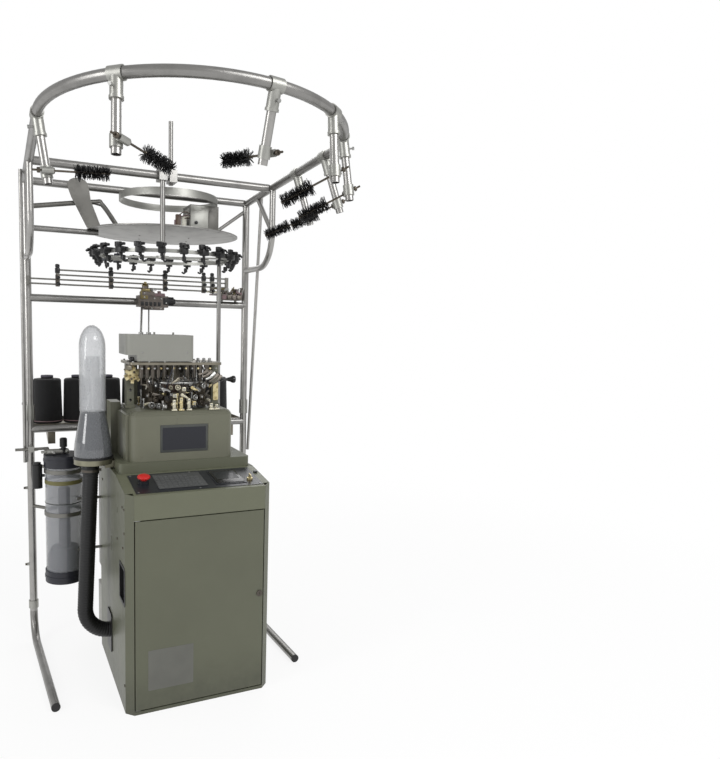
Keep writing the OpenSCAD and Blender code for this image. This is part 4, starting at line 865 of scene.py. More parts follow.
class KNIT_OT_console_controls(bpy.types.Operator):
    """Makes the keypad, the display and the screws of the console"""

    bl_idname = "knit.console_controls"
    bl_label = "Console controls"

    def execute(self, context):
        rows, columns, last_row = 5, 9, 7
        pitch_u, pitch_v = 0.0185, 0.0235
        pad = Piece("keypad_film", "pad")
        pad.plate(round_rect(0.180, 0.138, 0.003), 0.0006, console_place(-0.056, 0.110, 0.0025), 0.0002)
        pad.done()
        keys = Piece("keypad_keys", "key")
        cap = round_rect(0.0150, 0.0185, 0.0025)
        for row in range(rows):
            for col in range(columns if row < rows - 1 else last_row):
                u = -0.136 + pitch_u * col
                v = 0.052 + pitch_v * row
                keys.plate(cap, 0.0008, console_place(u, v + 0.008, 0.0030), 0.0003)
        keys.done()
        screen = Piece("display_screen", ["gloss", "glass"])
        screen.plate(round_rect(0.108, 0.124, 0.005), 0.0015, console_place(0.125, 0.109, 0.0035), 0.0005)
        screen.index = 1
        screen.plate(round_rect(0.088, 0.078, 0.002), 0.0004, console_place(0.125, 0.122, 0.0050))
        screen.done()
        small = Piece("console_screws", ["bright", "dark"])
        slope = Matrix.Rotation(DECK_SLOPE, 4, "X") @ Vector((0, 0, 1))
        for u in (-0.222, 0.230, 0.0):
            for v in (0.026, 0.184):
                small.screw(console_place(u, v, 0.0015).translation, slope, 0.0035, 0.002)
        small.done()
        return {"FINISHED"}


class KNIT_OT_cabinet_trim(bpy.types.Operator):
    """Makes the blank label, the blank nameplate and the screws of the side panels"""

    bl_idname = "knit.cabinet_trim"
    bl_label = "Cabinet trim"

    def execute(self, context):
        label = Piece("door_label", "label", "door")
        label.plate(round_rect(0.165, 0.150, 0.004), 0.0005, upright((-0.112, DOOR_FRONT, 0.158)))
        label.done()
        name = Piece("blank_nameplate", ["frame_grey", "blue"])
        rim = 0.0015
        x, y, z = HEAD_X - 0.003, CAST_FRONT + 0.002, BED_TOP + 0.0845
        name.plate(round_rect(0.186, 0.105, 0.003), rim, upright((x, y, z)), 0.0004)
        name.index = 1
        name.plate(round_rect(0.170, 0.086, 0.002), 0.0006, upright((x, y - rim, z)))
        name.done()
        heads = Piece("side_screws", ["dark", "bright"])
        places = (
            (-0.262, 0.745), (-0.225, 0.745), (-0.262, 0.66), (-0.235, 0.60), (-0.120, 0.60), (0.24, 0.745),
            (0.24, 0.10), (-0.262, 0.10),
        )
        for y, z in places:
            for side in (-1, 1):
                heads.screw((side * SIDE_X, y, z), (side, 0, 0), 0.005, 0.003)
        heads.done()
        return {"FINISHED"}


class KNIT_OT_needles(bpy.types.Operator):
    """Makes the latch needles round the cylinder"""

    bl_idname = "knit.needles"
    bl_label = "Needles"

    def execute(self, context):
        count = 96
        circle = 0.0508
        shank, hook = 0.0006, 0.0005
        needles = Piece("latch_needles", "bright", "cylinder")
        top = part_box("needle_cylinder")[1][2]
        for k in range(count):
            a = 2 * math.pi * k / count
            out = Vector((math.cos(a), math.sin(a), 0))
            foot = Vector((HEAD_X, HEAD_Y, top - 0.016)) + out * circle
            lift = 0.004 + 0.004 * (0.5 + 0.5 * math.sin(a * 2))
            tip = foot + Vector((0, 0, 0.014 + lift))
            needles.rod(foot, tip, shank, segments=4)
            needles.rod(tip, tip + out * 0.0022 - Vector((0, 0, 0.0012)), hook, segments=4)
        needles.done()
        return {"FINISHED"}


class KNIT_OT_cam_details(bpy.types.Operator):
    """Makes the cam blocks, bolts, levers and springs round the needle cylinder"""

    bl_idname = "knit.cam_details"
    bl_label = "Cam details"

    def execute(self, context):
        rng = random.Random(11)
        self.bolts()
        self.blocks(rng)
        self.springs(rng)
        self.levers(rng)
        self.carriers(rng)
        self.rings()
        self.rear(rng)
        self.posts(rng)
        return {"FINISHED"}

    def bolts(self):
        """Screws on the cam ring."""
        count, circle = 16, 0.0825
        bolts = Piece("cam_ring_bolts", "bright")
        for k in range(count):
            socket_screw(bolts, at_head(360 / count * k + 6, circle, CAST_TOP + 0.016), (0, 0, 1), 0.0036)
        bolts.done()

    def blocks(self, rng):
        """Cam blocks with their screws and levers."""
        count, circle, tall = 12, 0.0745, 0.013
        blocks = Piece("cam_blocks", ["bright", "dark", "brass"])
        for k in range(count):
            angle = 360 / count * k + 12
            out = heading(angle)
            base = at_head(angle, circle, CAM_TOP)
            blocks.index = (0, 1, 0, 2)[k % 4]
            blocks.slab((-0.0090, -0.0095, 0), (0.0100, 0.0095, tall), 0.0015, turn=placed(base, out))
            blocks.index = 0
            socket_screw(blocks, base + out * 0.004 + Vector((0, 0, tall)), (0, 0, 1), 0.0028)
            blocks.index = 1 if k % 3 else 2
            nose = placed(base + out * 0.006 + Vector((0, 0, 0.0132)), heading(angle + rng.uniform(60, 120)))
            lever(blocks, nose, rng.uniform(0.022, 0.032), 0.006, 0.0022, rng.uniform(-0.004, 0.004))
        blocks.done()

    def springs(self, rng):
        """Fine springs up to the top plate, and larger ones at the front."""
        count = 14
        springs = Piece("tension_springs", ["bright", "dark"])
        for k in range(count):
            angle = 360 * k / count + rng.uniform(-5, 5)
            foot = at_head(angle, 0.118, CAST_TOP + 0.094)
            head = at_head(angle + rng.uniform(-7, 7), 0.121, PLATE_LOW - 0.012)
            springs.index = k % 2
            way = head - foot
            coil(springs, foot + way * 0.2, way, way.length * 0.55, 0.0032, 0.0007, 15)
            springs.rod(foot, foot + way * 0.21, 0.0008, segments=6)
            springs.rod(foot + way * 0.74, head + way * 0.16, 0.0008, segments=6)
        front = HEAD_Y - 0.112
        large = 0.0085
        for x, z, r in (
            (-0.118, 0.018, 0.011), (-0.090, 0.014, 0.009), (-0.104, 0.040, 0.008), (0.052, 0.016, 0.010),
            (0.078, 0.022, 0.008),
        ):
            x, z = HEAD_X + x, CAST_TOP + z
            springs.index = 0 if r > large else 1
            coil(springs, (x, front, z), (0.1, -1, 0.05), 0.016, r, 0.0012, 6)
            springs.rod((x, HEAD_Y - 0.094, z), (x, HEAD_Y - 0.134, z), 0.003)
        springs.done()

    def levers(self, rng):
        """Levers of the selectors, between the casting and the top plate."""
        count = 26
        levers = Piece("selector_levers", ["bright", "sooty", "plate"])
        for k in range(count):
            angle = 360 * k / count + rng.uniform(-4, 4)
            top = at_head(angle, rng.uniform(0.106, 0.128), CAST_TOP + rng.uniform(0.085, 0.128))
            levers.index = (1, 0, 1, 2)[k % 4]
            across = heading(angle + rng.choice((-90, 90)) + rng.uniform(-25, 25))
            place = placed(top, across + Vector((0, 0, rng.uniform(-0.9, 0.2))), heading(angle))
            lever(levers, place, rng.uniform(0.026, 0.044), 0.009, 0.0022, rng.uniform(-0.006, 0.006))
            levers.rod(top - heading(angle) * 0.004, top + heading(angle) * 0.006, 0.0024, segments=10)
        levers.done()

    def carriers(self, rng):
        """Levers, blocks, hoops and springs across the front."""
        count = 34
        first, span = 212, 116
        front = Piece("carrier_parts", ["bright", "sooty", "brass", "cream", "black"])
        for k in range(count):
            angle = first + span * k / (count - 1) + rng.uniform(-1.5, 1.5)
            z = CAST_TOP + (0.012, 0.046, 0.080)[k % 3] + rng.uniform(0, 0.016)
            spot = at_head(angle, rng.uniform(0.146, 0.156), z)
            out = heading(angle)
            front.index = rng.choice((0, 1, 1, 2, 3, 4, 1))
            kind = k % 4
            if kind == 0:
                side = heading(angle + 90) + Vector((0, 0, rng.uniform(-1.2, 1.2)))
                long = rng.uniform(0.022, 0.036)
                lever(front, placed(spot, side, out), long, 0.009, 0.003, rng.uniform(-0.006, 0.006))
                front.rod(spot - out * 0.012, spot + out * 0.006, 0.003, segments=10)
            elif kind == 1:
                front.slab((-0.012, -0.008, -0.007), (0.004, 0.008, 0.009), 0.002, turn=placed(spot, out))
                front.index = 0
                front.screw(spot + out * 0.004, out, 0.0042, 0.0024, slot=False)
            elif kind == 2:
                across, up = heading(angle + 90), Vector((0, 0, 1))
                turns = [math.radians(30 * n) for n in range(12)]
                hoop = [spot + (across * math.cos(t) + up * math.sin(t)) * 0.009 for t in turns]
                front.sweep(hoop, 0.0022, 8, closed=True)
                front.rod(spot - out * 0.014, spot + out * 0.004, 0.004, segments=10)
            else:
                way = out + Vector((0, 0, rng.uniform(-0.5, 0.5)))
                coil(front, spot - out * 0.010, way, 0.020, 0.006, 0.0011, 6)
        front.done()

    def rings(self):
        """Arcs of plate that tie the carriers together."""
        steps, thick = 28, 0.007
        ring = Piece("carrier_ring", ["bright", "strip"])
        # First and last angle, inner and outer radius, height over the casting
        bands = (
            (214, 326, 0.100, 0.122, 0.099), (222, 318, 0.092, 0.104, 0.108), (34, 146, 0.100, 0.122, 0.099),
        )
        for k, (first, last, inner, outer, z) in enumerate(bands):
            ring.index = k % 2
            arc = [first + (last - first) * n / steps for n in range(steps + 1)]
            outline = [tuple(heading(a) * outer)[:2] for a in arc]
            outline += [tuple(heading(a) * inner)[:2] for a in reversed(arc)]
            ring.plate(outline, thick, Matrix.Translation((HEAD_X, HEAD_Y, CAST_TOP + z)), 0.001)
        ring.done()

    def rear(self, rng):
        """Upright plates under the rear of the top plate."""
        count, pitch, wide, thick = 13, 0.0205, 0.0215, 0.006
        back = Piece("rear_carriers", ["sooty", "plate", "bright"])
        for k in range(count):
            x = HEAD_X - 0.128 + pitch * k
            deep = rng.uniform(0.050, 0.096)
            y = HEAD_Y + 0.072 + 0.007 * (k % 2)
            back.index = k % 2
            back.slab((x, y, PLATE_LOW - deep), (x + wide, y + thick, PLATE_LOW - 0.001), 0.001)
            back.index = 2
            back.screw((x + 0.010, y, PLATE_LOW - deep * 0.6), (0, -1, 0), 0.0036, 0.002, slot=False)
            if k % 3 == 1:
                ahead = (rng.uniform(-1, 1), -0.2, -0.6)
                place = placed((x + 0.010, y - 0.004, PLATE_LOW - deep * 0.7), ahead, (0, -1, 0))
                lever(back, place, 0.030, 0.008, 0.0025, rng.uniform(-0.004, 0.004))
        back.done()

    def posts(self, rng):
        """Turned posts on the casting."""
        count, reach = 18, 0.14
        posts = Piece("cam_posts", ["bright", "brass", "dark"])
        for k in range(count):
            angle = 360 / count * k + rng.uniform(-3, 3)
            tall = rng.uniform(0.030, 0.072)
            foot = at_head(angle, rng.choice((0.097, 0.134, 0.141)), CAST_TOP)
            if abs(foot.x - HEAD_X) > reach:
                continue
            posts.index = (0, 2, 0, 1, 0)[k % 5]
            profile = [
                (0, 0), (0.0065, 0), (0.0065, 0.004), (0.0035, 0.006), (0.0035, tall - 0.010),
                (0.0055, tall - 0.009), (0.0055, tall), (0, tall),
            ]
            posts.lathe(profile, foot, steps=14)
        posts.done()


class KNIT_OT_head_trim(bpy.types.Operator):
    """Makes the air lines, the plate's screws, the knob and the small brackets of the head"""

    bl_idname = "knit.head_trim"
    bl_label = "Head trim"

    def execute(self, context):
        self.air(random.Random(23))
        self.plate_fittings()
        self.brackets()
        finger_count = 5
        fingers = Piece("chrome_levers", ["bright", "sooty"])
        for k in range(finger_count):
            at = (HEAD_X + 0.112 + 0.012 * k, HEAD_Y - 0.100 - 0.004 * k, PLATE_LOW - 0.022 - 0.006 * k)
            base = Vector(at)
            fingers.index = 0 if k == 2 else 1
            place = placed(base, (-0.8, -0.2, -0.45 - 0.12 * k), (0, -1, 0.3))
            lever(fingers, place, 0.046, 0.011, 0.003, 0.006)
            fingers.rod(base, base + Vector((0, 0.020, 0.012)), 0.003, segments=10)
        fingers.done()
        box = Piece("cover_box_screws", "bright")
        lo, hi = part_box("top_box")
        for x in (lo[0] + 0.060, hi[0] - 0.030):
            box.screw((x, lo[1], lo[2] + 0.034), (0, -1, 0), 0.0035, 0.002)
        box.done()
        return {"FINISHED"}

    def air(self, rng):
        """Air lines and their fittings."""
        line_count, line_radius, fitting_count = 16, 0.0021, 13
        lines = Piece("air_lines", ["black", "navy", "white"])
        for k in range(line_count):
            angle = 360 / line_count * k + rng.uniform(-6, 6)
            low = at_head(angle, 0.131, CAST_TOP + rng.uniform(0.060, 0.084))
            high = at_head(angle + rng.uniform(-30, 30), 0.112, PLATE_LOW - 0.003)
            high.y = min(high.y, HEAD_Y + 0.100)
            mid = (low + high) / 2 + heading(angle) * rng.uniform(0.006, 0.016)
            mid -= Vector((0, 0, rng.uniform(0, 0.02)))
            lines.index = (0, 1, 0, 0, 2)[k % 5]
            lines.sweep(curve_points((low, mid, high), 8), line_radius, 8)
        lines.done()

        fittings = Piece("air_fittings", ["bright", "brass"])
        nipple = [(0, 0), (0.0042, 0), (0.0042, 0.006), (0.0028, 0.007), (0.0028, 0.012), (0, 0.012)]
        for k in range(fitting_count):
            fittings.index = k % 2
            spot = (HEAD_X - 0.150 + 0.0245 * k, HEAD_Y - 0.099, PLATE_LOW - 0.014)
            fittings.lathe(nipple, spot, (0, -0.9, 0.1), 12)
        fittings.done()

    def plate_fittings(self):
        """Screws, studs and knob of the top plate."""
        plate = Piece("plate_screws", "bright")
        for x in (-0.182, -0.120, -0.060, 0.075, 0.110, 0.156):
            for y in (-0.096, 0.096):
                socket_screw(plate, (HEAD_X + x, HEAD_Y + y, PLATE_TOP), (0, 0, 1), 0.0045)
        stud = [(0, 0), (0.009, 0), (0.009, 0.005), (0.006, 0.007), (0.006, 0.016), (0, 0.018)]
        for x in (0.080, 0.104, 0.128):
            plate.lathe(stud, (HEAD_X + x, HEAD_Y - 0.070, PLATE_TOP), steps=20)
        plate.done()

        knob = Piece("plate_knob", ["black", "plate"])
        profile = [
            (0, 0), (0.006, 0), (0.006, 0.004), (0.0095, 0.007), (0.0105, 0.013), (0.008, 0.019), (0, 0.021),
        ]
        knob.lathe(profile, (HEAD_X - 0.184, HEAD_Y - 0.082, PLATE_TOP), steps=24)
        knob.index = 1
        low = (HEAD_X - 0.210, HEAD_Y - 0.098, PLATE_LOW - 0.020)
        knob.slab(low, (HEAD_X - 0.186, HEAD_Y - 0.066, PLATE_LOW - 0.001), 0.004)
        knob.done()

    def brackets(self):
        """Small brackets at the front, and the screws of the brass plates."""
        feet = Piece("front_brackets", ["cream", "brass", "bright"])
        boss = [(0, 0), (0.005, 0), (0.005, 0.003), (0, 0.003)]
        # Place across the head and height
        stands = ((-0.040, 0.042), (-0.012, 0.050), (0.018, 0.046), (0.108, 0.026), (0.130, 0.020))
        for k, (x, tall) in enumerate(stands):
            base = Vector((HEAD_X + x, HEAD_Y - 0.164, CAST_TOP))
            feet.index = 1 if k == 1 else 0
            for low, high in (
                ((-0.011, -0.008, 0), (0.011, 0.010, 0.006)),
                ((-0.006, -0.003, 0.004), (0.006, 0.005, tall)),
                ((-0.009, -0.004, tall * 0.5), (0.002, 0.006, tall * 0.66)),
            ):
                feet.slab(base + Vector(low), base + Vector(high), 0.0015)
            feet.index = 2
            feet.screw(base + Vector((0, -0.003, tall - 0.006)), (0, -1, 0), 0.0035, 0.002, slot=False)
            feet.lathe(boss, base + Vector((0.006, -0.004, 0.006)), steps=10)
        feet.done()

        cams = Piece("cam_plate_screws", "dark")
        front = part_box("brass_plates")[0][1]
        for z in (0.012, -0.014):
            spot = (HEAD_X - 0.176 + z * 0.4, front - 0.0001, CAST_TOP + 0.130 + z)
            cams.screw(spot, (0, -1, 0), 0.0048, 0.0016, slot=False)
        cams.done()


class KNIT_OT_guide_details(bpy.types.Operator):
    """Makes the eyelet blocks, hooks and trip levers of the yarn guides, and the disc's cap"""

    bl_idname = "knit.guide_details"
    bl_label = "Guide details"

    def execute(self, context):
        rng = random.Random(31)
        count, reach = 22, 0.262
        lug_angle, lug_room = 24.5, 5
        centre = Vector((-0.034, 0.120, 1.651))
        parts = Piece("guide_details", ["black", "bright", "navy"])
        arm = ((0.016, 0.010, 0.024), (0.034, 0.012, 0.022), (0.042, 0.010, 0.014))
        hook = (
            (0.010, 0.002, -0.004), (0.008, 0.003, -0.022), (0.003, 0.010, -0.034), (-0.004, 0.018, -0.030),
        )
        for k in range(count):
            angle = 360 * (k + 0.5) / count
            if abs(angle - lug_angle) < lug_room:
                continue
            out = heading(angle)
            turn = placed(centre + out * reach, out)
            lean = rng.uniform(-0.002, 0.002)
            parts.index = 2 if k in (7, 8, 9) else 0
            parts.slab((0.003, -0.013, -0.006), (0.030, 0.014, 0.018), 0.003, turn=turn)
            parts.slab((0.010, -0.019 + lean, 0.016), (0.026, 0.003 + lean, 0.034), 0.003, turn=turn)
            parts.slab((0.006, -0.004, 0.022), (0.020, 0.018, 0.032), 0.003, turn=turn)
            parts.index = 0
            parts.sweep([turn @ Vector(p) for p in arm], 0.0042, 8)
            parts.sweep(curve_points([turn @ Vector(p) for p in hook], 5), 0.0038, 8)
            parts.slab((-0.004, -0.003, -0.030), (0.012, 0.010, -0.012), 0.003, turn=turn)
            parts.slab((-0.022, -0.008, 0.012), (0.004, 0.008, 0.019), 0.002, turn=turn)
            parts.index = 1
            parts.screw(turn @ Vector((0.016, 0.0, 0.034)), (0, 0, 1), 0.003, 0.002, slot=False)
        parts.done()

        cap = Piece("disc_hub_cap", ["disc", "strip"])
        low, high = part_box("disc_plate")
        middle = ((low[0] + high[0]) / 2, (low[1] + high[1]) / 2, low[2])
        hub = (high[0] - low[0]) * 0.21
        skirt = (high[0] - low[0]) / 2 - 0.024
        edge = 0.0005
        rise = 0.0119
        profile = [
            (0, -0.0020), (hub * 0.5, -0.0018), (hub, -0.0008), (skirt, 0.0112), (skirt + edge, rise),
            (hub + edge, rise), (hub + edge, 0.0), (0, 0.0),
        ]
        cap.lathe(profile, middle, steps=72)
        cap.index = 1
        screws = 6
        for k in range(screws):
            spot = Vector(middle) + heading(360 / screws * k + 20) * hub * 0.88 - Vector((0, 0, 0.0010))
            cap.screw(spot, (0, 0, -1), 0.004, 0.002, slot=False)
        cap.done()
        return {"FINISHED"}


class KNIT_OT_yarn_path_details(bpy.types.Operator):
    """Makes the fine parts of the feeder, the rod rack, the tension device and the hoop box"""

    bl_idname = "knit.yarn_path_details"
    bl_label = "Yarn path details"

    def execute(self, context):
        rng = random.Random(41)
        self.feeder()
        self.rack()
        self.tension(rng)
        self.hoop_box(rng)
        conduit = Piece("disc_conduit", "strip")
        bends = (
            (-0.519, 0.475, 1.8656), (-0.268, 0.479, 1.907), (-0.226, 0.481, 1.899), (-0.150, 0.483, 1.795),
        )
        conduit.sweep(curve_points(bends, 10), 0.0104, 14)
        conduit.done()
        return {"FINISHED"}

    def feeder(self):
        """Blocks, pulley, stud, screws and spring of the yarn feeder."""
        middle = BAR_FRONT - 0.034
        port_count, port_pitch = 5, 0.0185
        origin = (0, middle, BAR_Z)
        feeder = Piece("feeder_parts", ["feeder", "black", "oldbrass", "mauve", "bright"])
        feeder.slabs(origin, [(0, (-0.066, -0.0245, -0.036), (0.026, 0.010, -0.022), 0.003)])
        for k in range(port_count):
            low = -0.077 + port_pitch * k
            high = -0.064 + port_pitch * k
            feeder.slabs(origin, [(1, (low, -0.0232, -0.019), (high, -0.0215, -0.001), 0.0008)])
        feeder.slabs(origin, [
            (1, (0.020, -0.0240, -0.012), (0.045, -0.010, 0.020), 0.004),
            (2, (-0.080, -0.0250, 0.010), (-0.046, -0.0215, 0.046), 0.0015),
            (2, (-0.073, -0.0290, 0.042), (-0.034, 0.004, 0.056), 0.004),
        ])
        pulley = [
            (0, 0), (0.015, 0), (0.016, 0.003), (0.011, 0.006), (0.016, 0.009), (0.015, 0.012),
            (0.006, 0.013), (0.006, 0.019), (0, 0.020),
        ]
        feeder.lathe(pulley, near(origin, -0.056, -0.012, 0.0662), steps=24)
        feeder.slabs(origin, [(3, (-0.036, -0.0255, 0.024), (0.030, 0.006, 0.038), 0.004)])
        stud = [(0, 0), (0.008, 0), (0.008, 0.010), (0, 0.012)]
        feeder.lathe(stud, near(origin, 0.006, -0.010, 0.037), steps=16)
        feeder.index = 4
        for x, z in (
            (-0.062, 0.018), (-0.062, 0.036), (-0.018, 0.014), (0.012, 0.014), (0.034, -0.004),
            (-0.030, -0.029), (0.010, -0.029),
        ):
            feeder.screw(near(origin, x, -0.0245, z), (0, -1, 0), 0.0038, 0.002, slot=False)
        coil(feeder, near(origin, -0.040, -0.026, 0.050), (1, 0, 0.1), 0.030, 0.0045, 0.001, 8)
        feeder.done()

    def rack(self):
        """Clamps and thumb screws of the guide rods."""
        line = BAR_FRONT - 0.026
        cap = [(0, 0), (0.008, 0), (0.009, 0.003), (0.009, 0.011), (0.006, 0.014), (0, 0.014)]
        thumb = [(0, 0), (0.0065, 0), (0.0075, 0.002), (0.0065, 0.012), (0, 0.013)]
        rack = Piece("rack_clamps", ["sooty", "black"])
        for k, x in enumerate((-0.418, -0.200, 0.036, 0.215, 0.255)):
            origin = (x, line, BAR_Z)
            tall = 0.098 if k < 3 else 0.074
            rack.slabs(origin, [
                (0, (-0.0085, -0.0095, 0.049), (0.0085, 0.0095, tall), 0.002),
                (1, (-0.0095, -0.0105, 0.104), (0.0095, 0.0105, 0.127), 0.003),
            ])
            rack.lathe(cap, near(origin, 0, 0, 0.128), steps=16)
            for z in (0.060, 0.086):
                rack.lathe(thumb, near(origin, 0, -0.0095, z), (0.3, -1, 0), 14)
        rack.done()

    def tension(self, rng):
        """Studs, levers, discs and springs of the tension device."""
        stud_count, disc_count = 7, 4
        origin = (0, BAR_FRONT, BAR_Z)
        device = Piece("tension_device", ["feeder", "sooty", "mauve", "cream", "bright", "oldbrass"])
        device.slabs(origin, [(0, (0.299, -0.0355, 0.0215), (0.401, -0.020, 0.0485), 0.004)])
        for k in range(stud_count):
            device.index = (1, 2, 4, 1, 5, 2, 1)[k]
            back = rng.uniform(-0.006, 0.010)
            spot = Vector((0.306 + 0.0145 * k, BAR_FRONT - 0.030 + back, BAR_Z + 0.049))
            tall = rng.uniform(0.012, 0.034)
            profile = [
                (0, 0), (0.0085, 0), (0.0085, 0.004), (0.005, 0.006), (0.005, tall - 0.005),
                (0.009, tall - 0.004), (0.009, tall), (0, tall),
            ]
            device.lathe(profile, spot, (rng.uniform(-0.3, 0.3), rng.uniform(-0.5, 0.1), 1), 16)
            device.index = (4, 1, 0, 5, 1, 4, 2)[k]
            at = spot + Vector((0, -0.010, rng.uniform(0.002, 0.018)))
            place = placed(at, (rng.uniform(-1, 1), -0.3, rng.uniform(0.1, 0.8)), (0, -1, 0))
            lever(device, place, rng.uniform(0.020, 0.034), 0.008, 0.003, rng.uniform(-0.005, 0.005))
        disc = [
            (0, 0), (0.010, 0), (0.011, 0.002), (0.007, 0.005), (0.011, 0.008), (0.010, 0.010), (0, 0.011),
        ]
        for k in range(disc_count):
            device.index = (2, 1, 0, 1)[k]
            device.lathe(disc, near(origin, 0.310 + 0.024 * k, -0.036, 0.034), (0, -1, 0.1), 16)
        # Number of the finish, first and last x, height over the bar
        strips = ((3, 0.226, 0.300, 0.052), (5, 0.262, 0.318, 0.068), (2, 0.240, 0.286, 0.040))
        for index, low, high, z in strips:
            device.index = index
            top = BAR_Z + z + 0.006
            device.slab((low, BAR_FRONT - 0.036, BAR_Z + z), (high, BAR_FRONT - 0.031, top), 0.0015)
            device.index = 4
            spot = (low + 0.012, BAR_FRONT - 0.038, BAR_Z + z + 0.003)
            coil(device, spot, (1, 0, 0.2), 0.024, 0.0042, 0.001, 7)
        device.done()

    def hoop_box(self, rng):
        """Cover, knob, wires and terminals of the disc's box."""
        front, face = 0.338, 0.0018
        wire_count, wire_radius = 5, 0.0022
        box = Piece("hoop_box_parts", ["strip", "black", "brown", "white", "mauve", "alu"])
        box.plate(round_rect(0.044, 0.100, 0.014), 0.003, upright((0.229, front, 1.848)), 0.0006)
        box.index = 5
        box.slab((0.1255, front - face, 1.7965), (0.206, front, 1.912), 0.0005)
        box.index = 1
        knob = [(0, 0), (0.0065, 0), (0.0075, 0.002), (0.0075, 0.007), (0, 0.009)]
        box.lathe(knob, (0.150, front - face, 1.838), (0, -1, 0), 16)
        for k in range(wire_count):
            box.index = (2, 4, 3, 2, 3)[k]
            start = Vector((0.128, front + 0.008 + 0.004 * k, 1.874 - 0.006 * k))
            end = Vector((0.072 + 0.008 * k, front + 0.024, 1.862 - 0.004 * k))
            mid = (start + end) / 2 + Vector((0, -0.012, rng.uniform(0.002, 0.016)))
            box.sweep(curve_points((start, mid, end), 8), wire_radius, 8)
        box.slabs((0, front, 0), [
            (3, (0.092, 0.014, 1.794), (0.112, 0.030, 1.864), 0.002),
            (2, (0.066, 0.014, 1.794), (0.088, 0.032, 1.870), 0.002),
            (4, (0.060, 0.018, 1.794), (0.066, 0.028, 1.846), 0.001),
        ])
        box.done()


class KNIT_OT_stand_details(bpy.types.Operator):
    """Makes the canister's tube, bands and valve, the bolts on the posts and the rims of the packages"""

    bl_idname = "knit.stand_details"
    bl_label = "Stand details"

    def execute(self, context):
        lo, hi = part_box("canister")
        x, y = (lo[0] + hi[0]) / 2, (lo[1] + hi[1]) / 2
        r = (hi[0] - lo[0]) / 2
        self.canister(x, y, r, lo[2], hi[2])
        self.valve(x, y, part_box("canister_caps")[1][2])
        self.bolts()
        self.rims()
        return {"FINISHED"}

    def canister(self, x, y, r, low, top):
        """Clear tube, bands and filter core."""
        inner, outer, lip, wall = r + 0.0001, r + 0.0012, 0.0005, 0.003
        bands = Piece("canister_bands", ["olive", "frame_grey", "core"])
        for index, z, tall in ((0, 0.722, 0.017), (1, 0.594, 0.007), (1, 0.640, 0.004)):
            bands.index = index
            profile = [(inner, 0), (outer, lip), (outer, tall - lip), (inner, tall)]
            bands.lathe(profile, (x, y, z), steps=48)
        bands.index = 2
        cup = [(0, 0), (r - 0.006, 0), (r - 0.006, 0.085), (r - 0.022, 0.125), (0, 0.130)]
        bands.lathe(cup, (x, y, low + 0.006), steps=40)
        stem = [(0, 0), (0.024, 0), (0.024, 0.250), (0.016, 0.256), (0, 0.256)]
        bands.lathe(stem, (x, y, low + 0.132), steps=24)
        bands.done()
        tube = Piece("canister_tube", "milk")
        bore = r - wall
        tube.lathe([(bore, low), (r, low), (r, top), (bore, top), (bore, low)], (x, y, 0), steps=64)
        tube.done(replaces=("canister",))

    def valve(self, x, y, top):
        """Valve block on the cap of the canister."""
        half = 0.0165
        valve = Piece("canister_valve", ["alu", "bright"])
        valve.slabs((x, y, top), [
            (0, (-0.066, -half, 0.002), (0.022, half, 0.0205), 0.005),
            (0, (-0.088, -0.008, 0.006), (-0.060, 0.008, 0.016), 0.003),
        ])
        valve.index = 1
        plug = [(0, 0), (0.008, 0), (0.008, 0.006), (0.005, 0.008), (0.005, 0.014), (0, 0.014)]
        valve.lathe(plug, (x - 0.040, y - 0.016, top + 0.011), (0, -1, 0), 16)
        valve.screw((x + 0.012, y - half, top + 0.011), (0, -1, 0), 0.004, 0.002)
        valve.done()

    def bolts(self):
        """Bolts through the left post."""
        tube_radius = 0.016
        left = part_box("posts")[0][0] + tube_radius
        collars = Piece("post_bolts", ["alu", "dark"])
        for z, sides in ((1.042, (-1,)), (0.841, (-1, 1)), (0.676, (-1,)), (0.336, (-1,))):
            for side in sides:
                collars.index = 0
                start = (left + side * 0.012, POST_Y, z)
                collars.rod(start, (left + side * 0.024, POST_Y, z), 0.0065, segments=12)
                collars.index = 1
                start = (left + side * 0.023, POST_Y, z)
                collars.rod(start, (left + side * 0.031, POST_Y, z), 0.0052, segments=6)
        collars.done()

    def rims(self):
        """Foot rims and noses of the packages."""
        count, pitch = 7, 0.130
        rims = Piece("package_rims", ["mauve", "core"])
        low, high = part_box("yarn_packages")
        row = (low[1] + high[1]) / 2
        tall = high[2] - low[2]
        foot = [
            (0.055, 0.0166), (0.0655, 0.0166), (0.0662, 0.0180), (0.0655, 0.0205), (0.0600, 0.0215),
            (0.055, 0.0200),
        ]
        nose = [
            (0.0115, tall - 0.006), (0.0262, tall - 0.006), (0.0268, tall - 0.002), (0.0250, tall + 0.0015),
            (0.0115, tall + 0.0010),
        ]
        for k in range(count):
            place = (HEAD_X - 0.450 + pitch * k, row, low[2])
            rims.index = 0
            rims.lathe(foot, place, steps=40)
            rims.index = 1
            rims.lathe(nose, place, steps=32)
        rims.done()


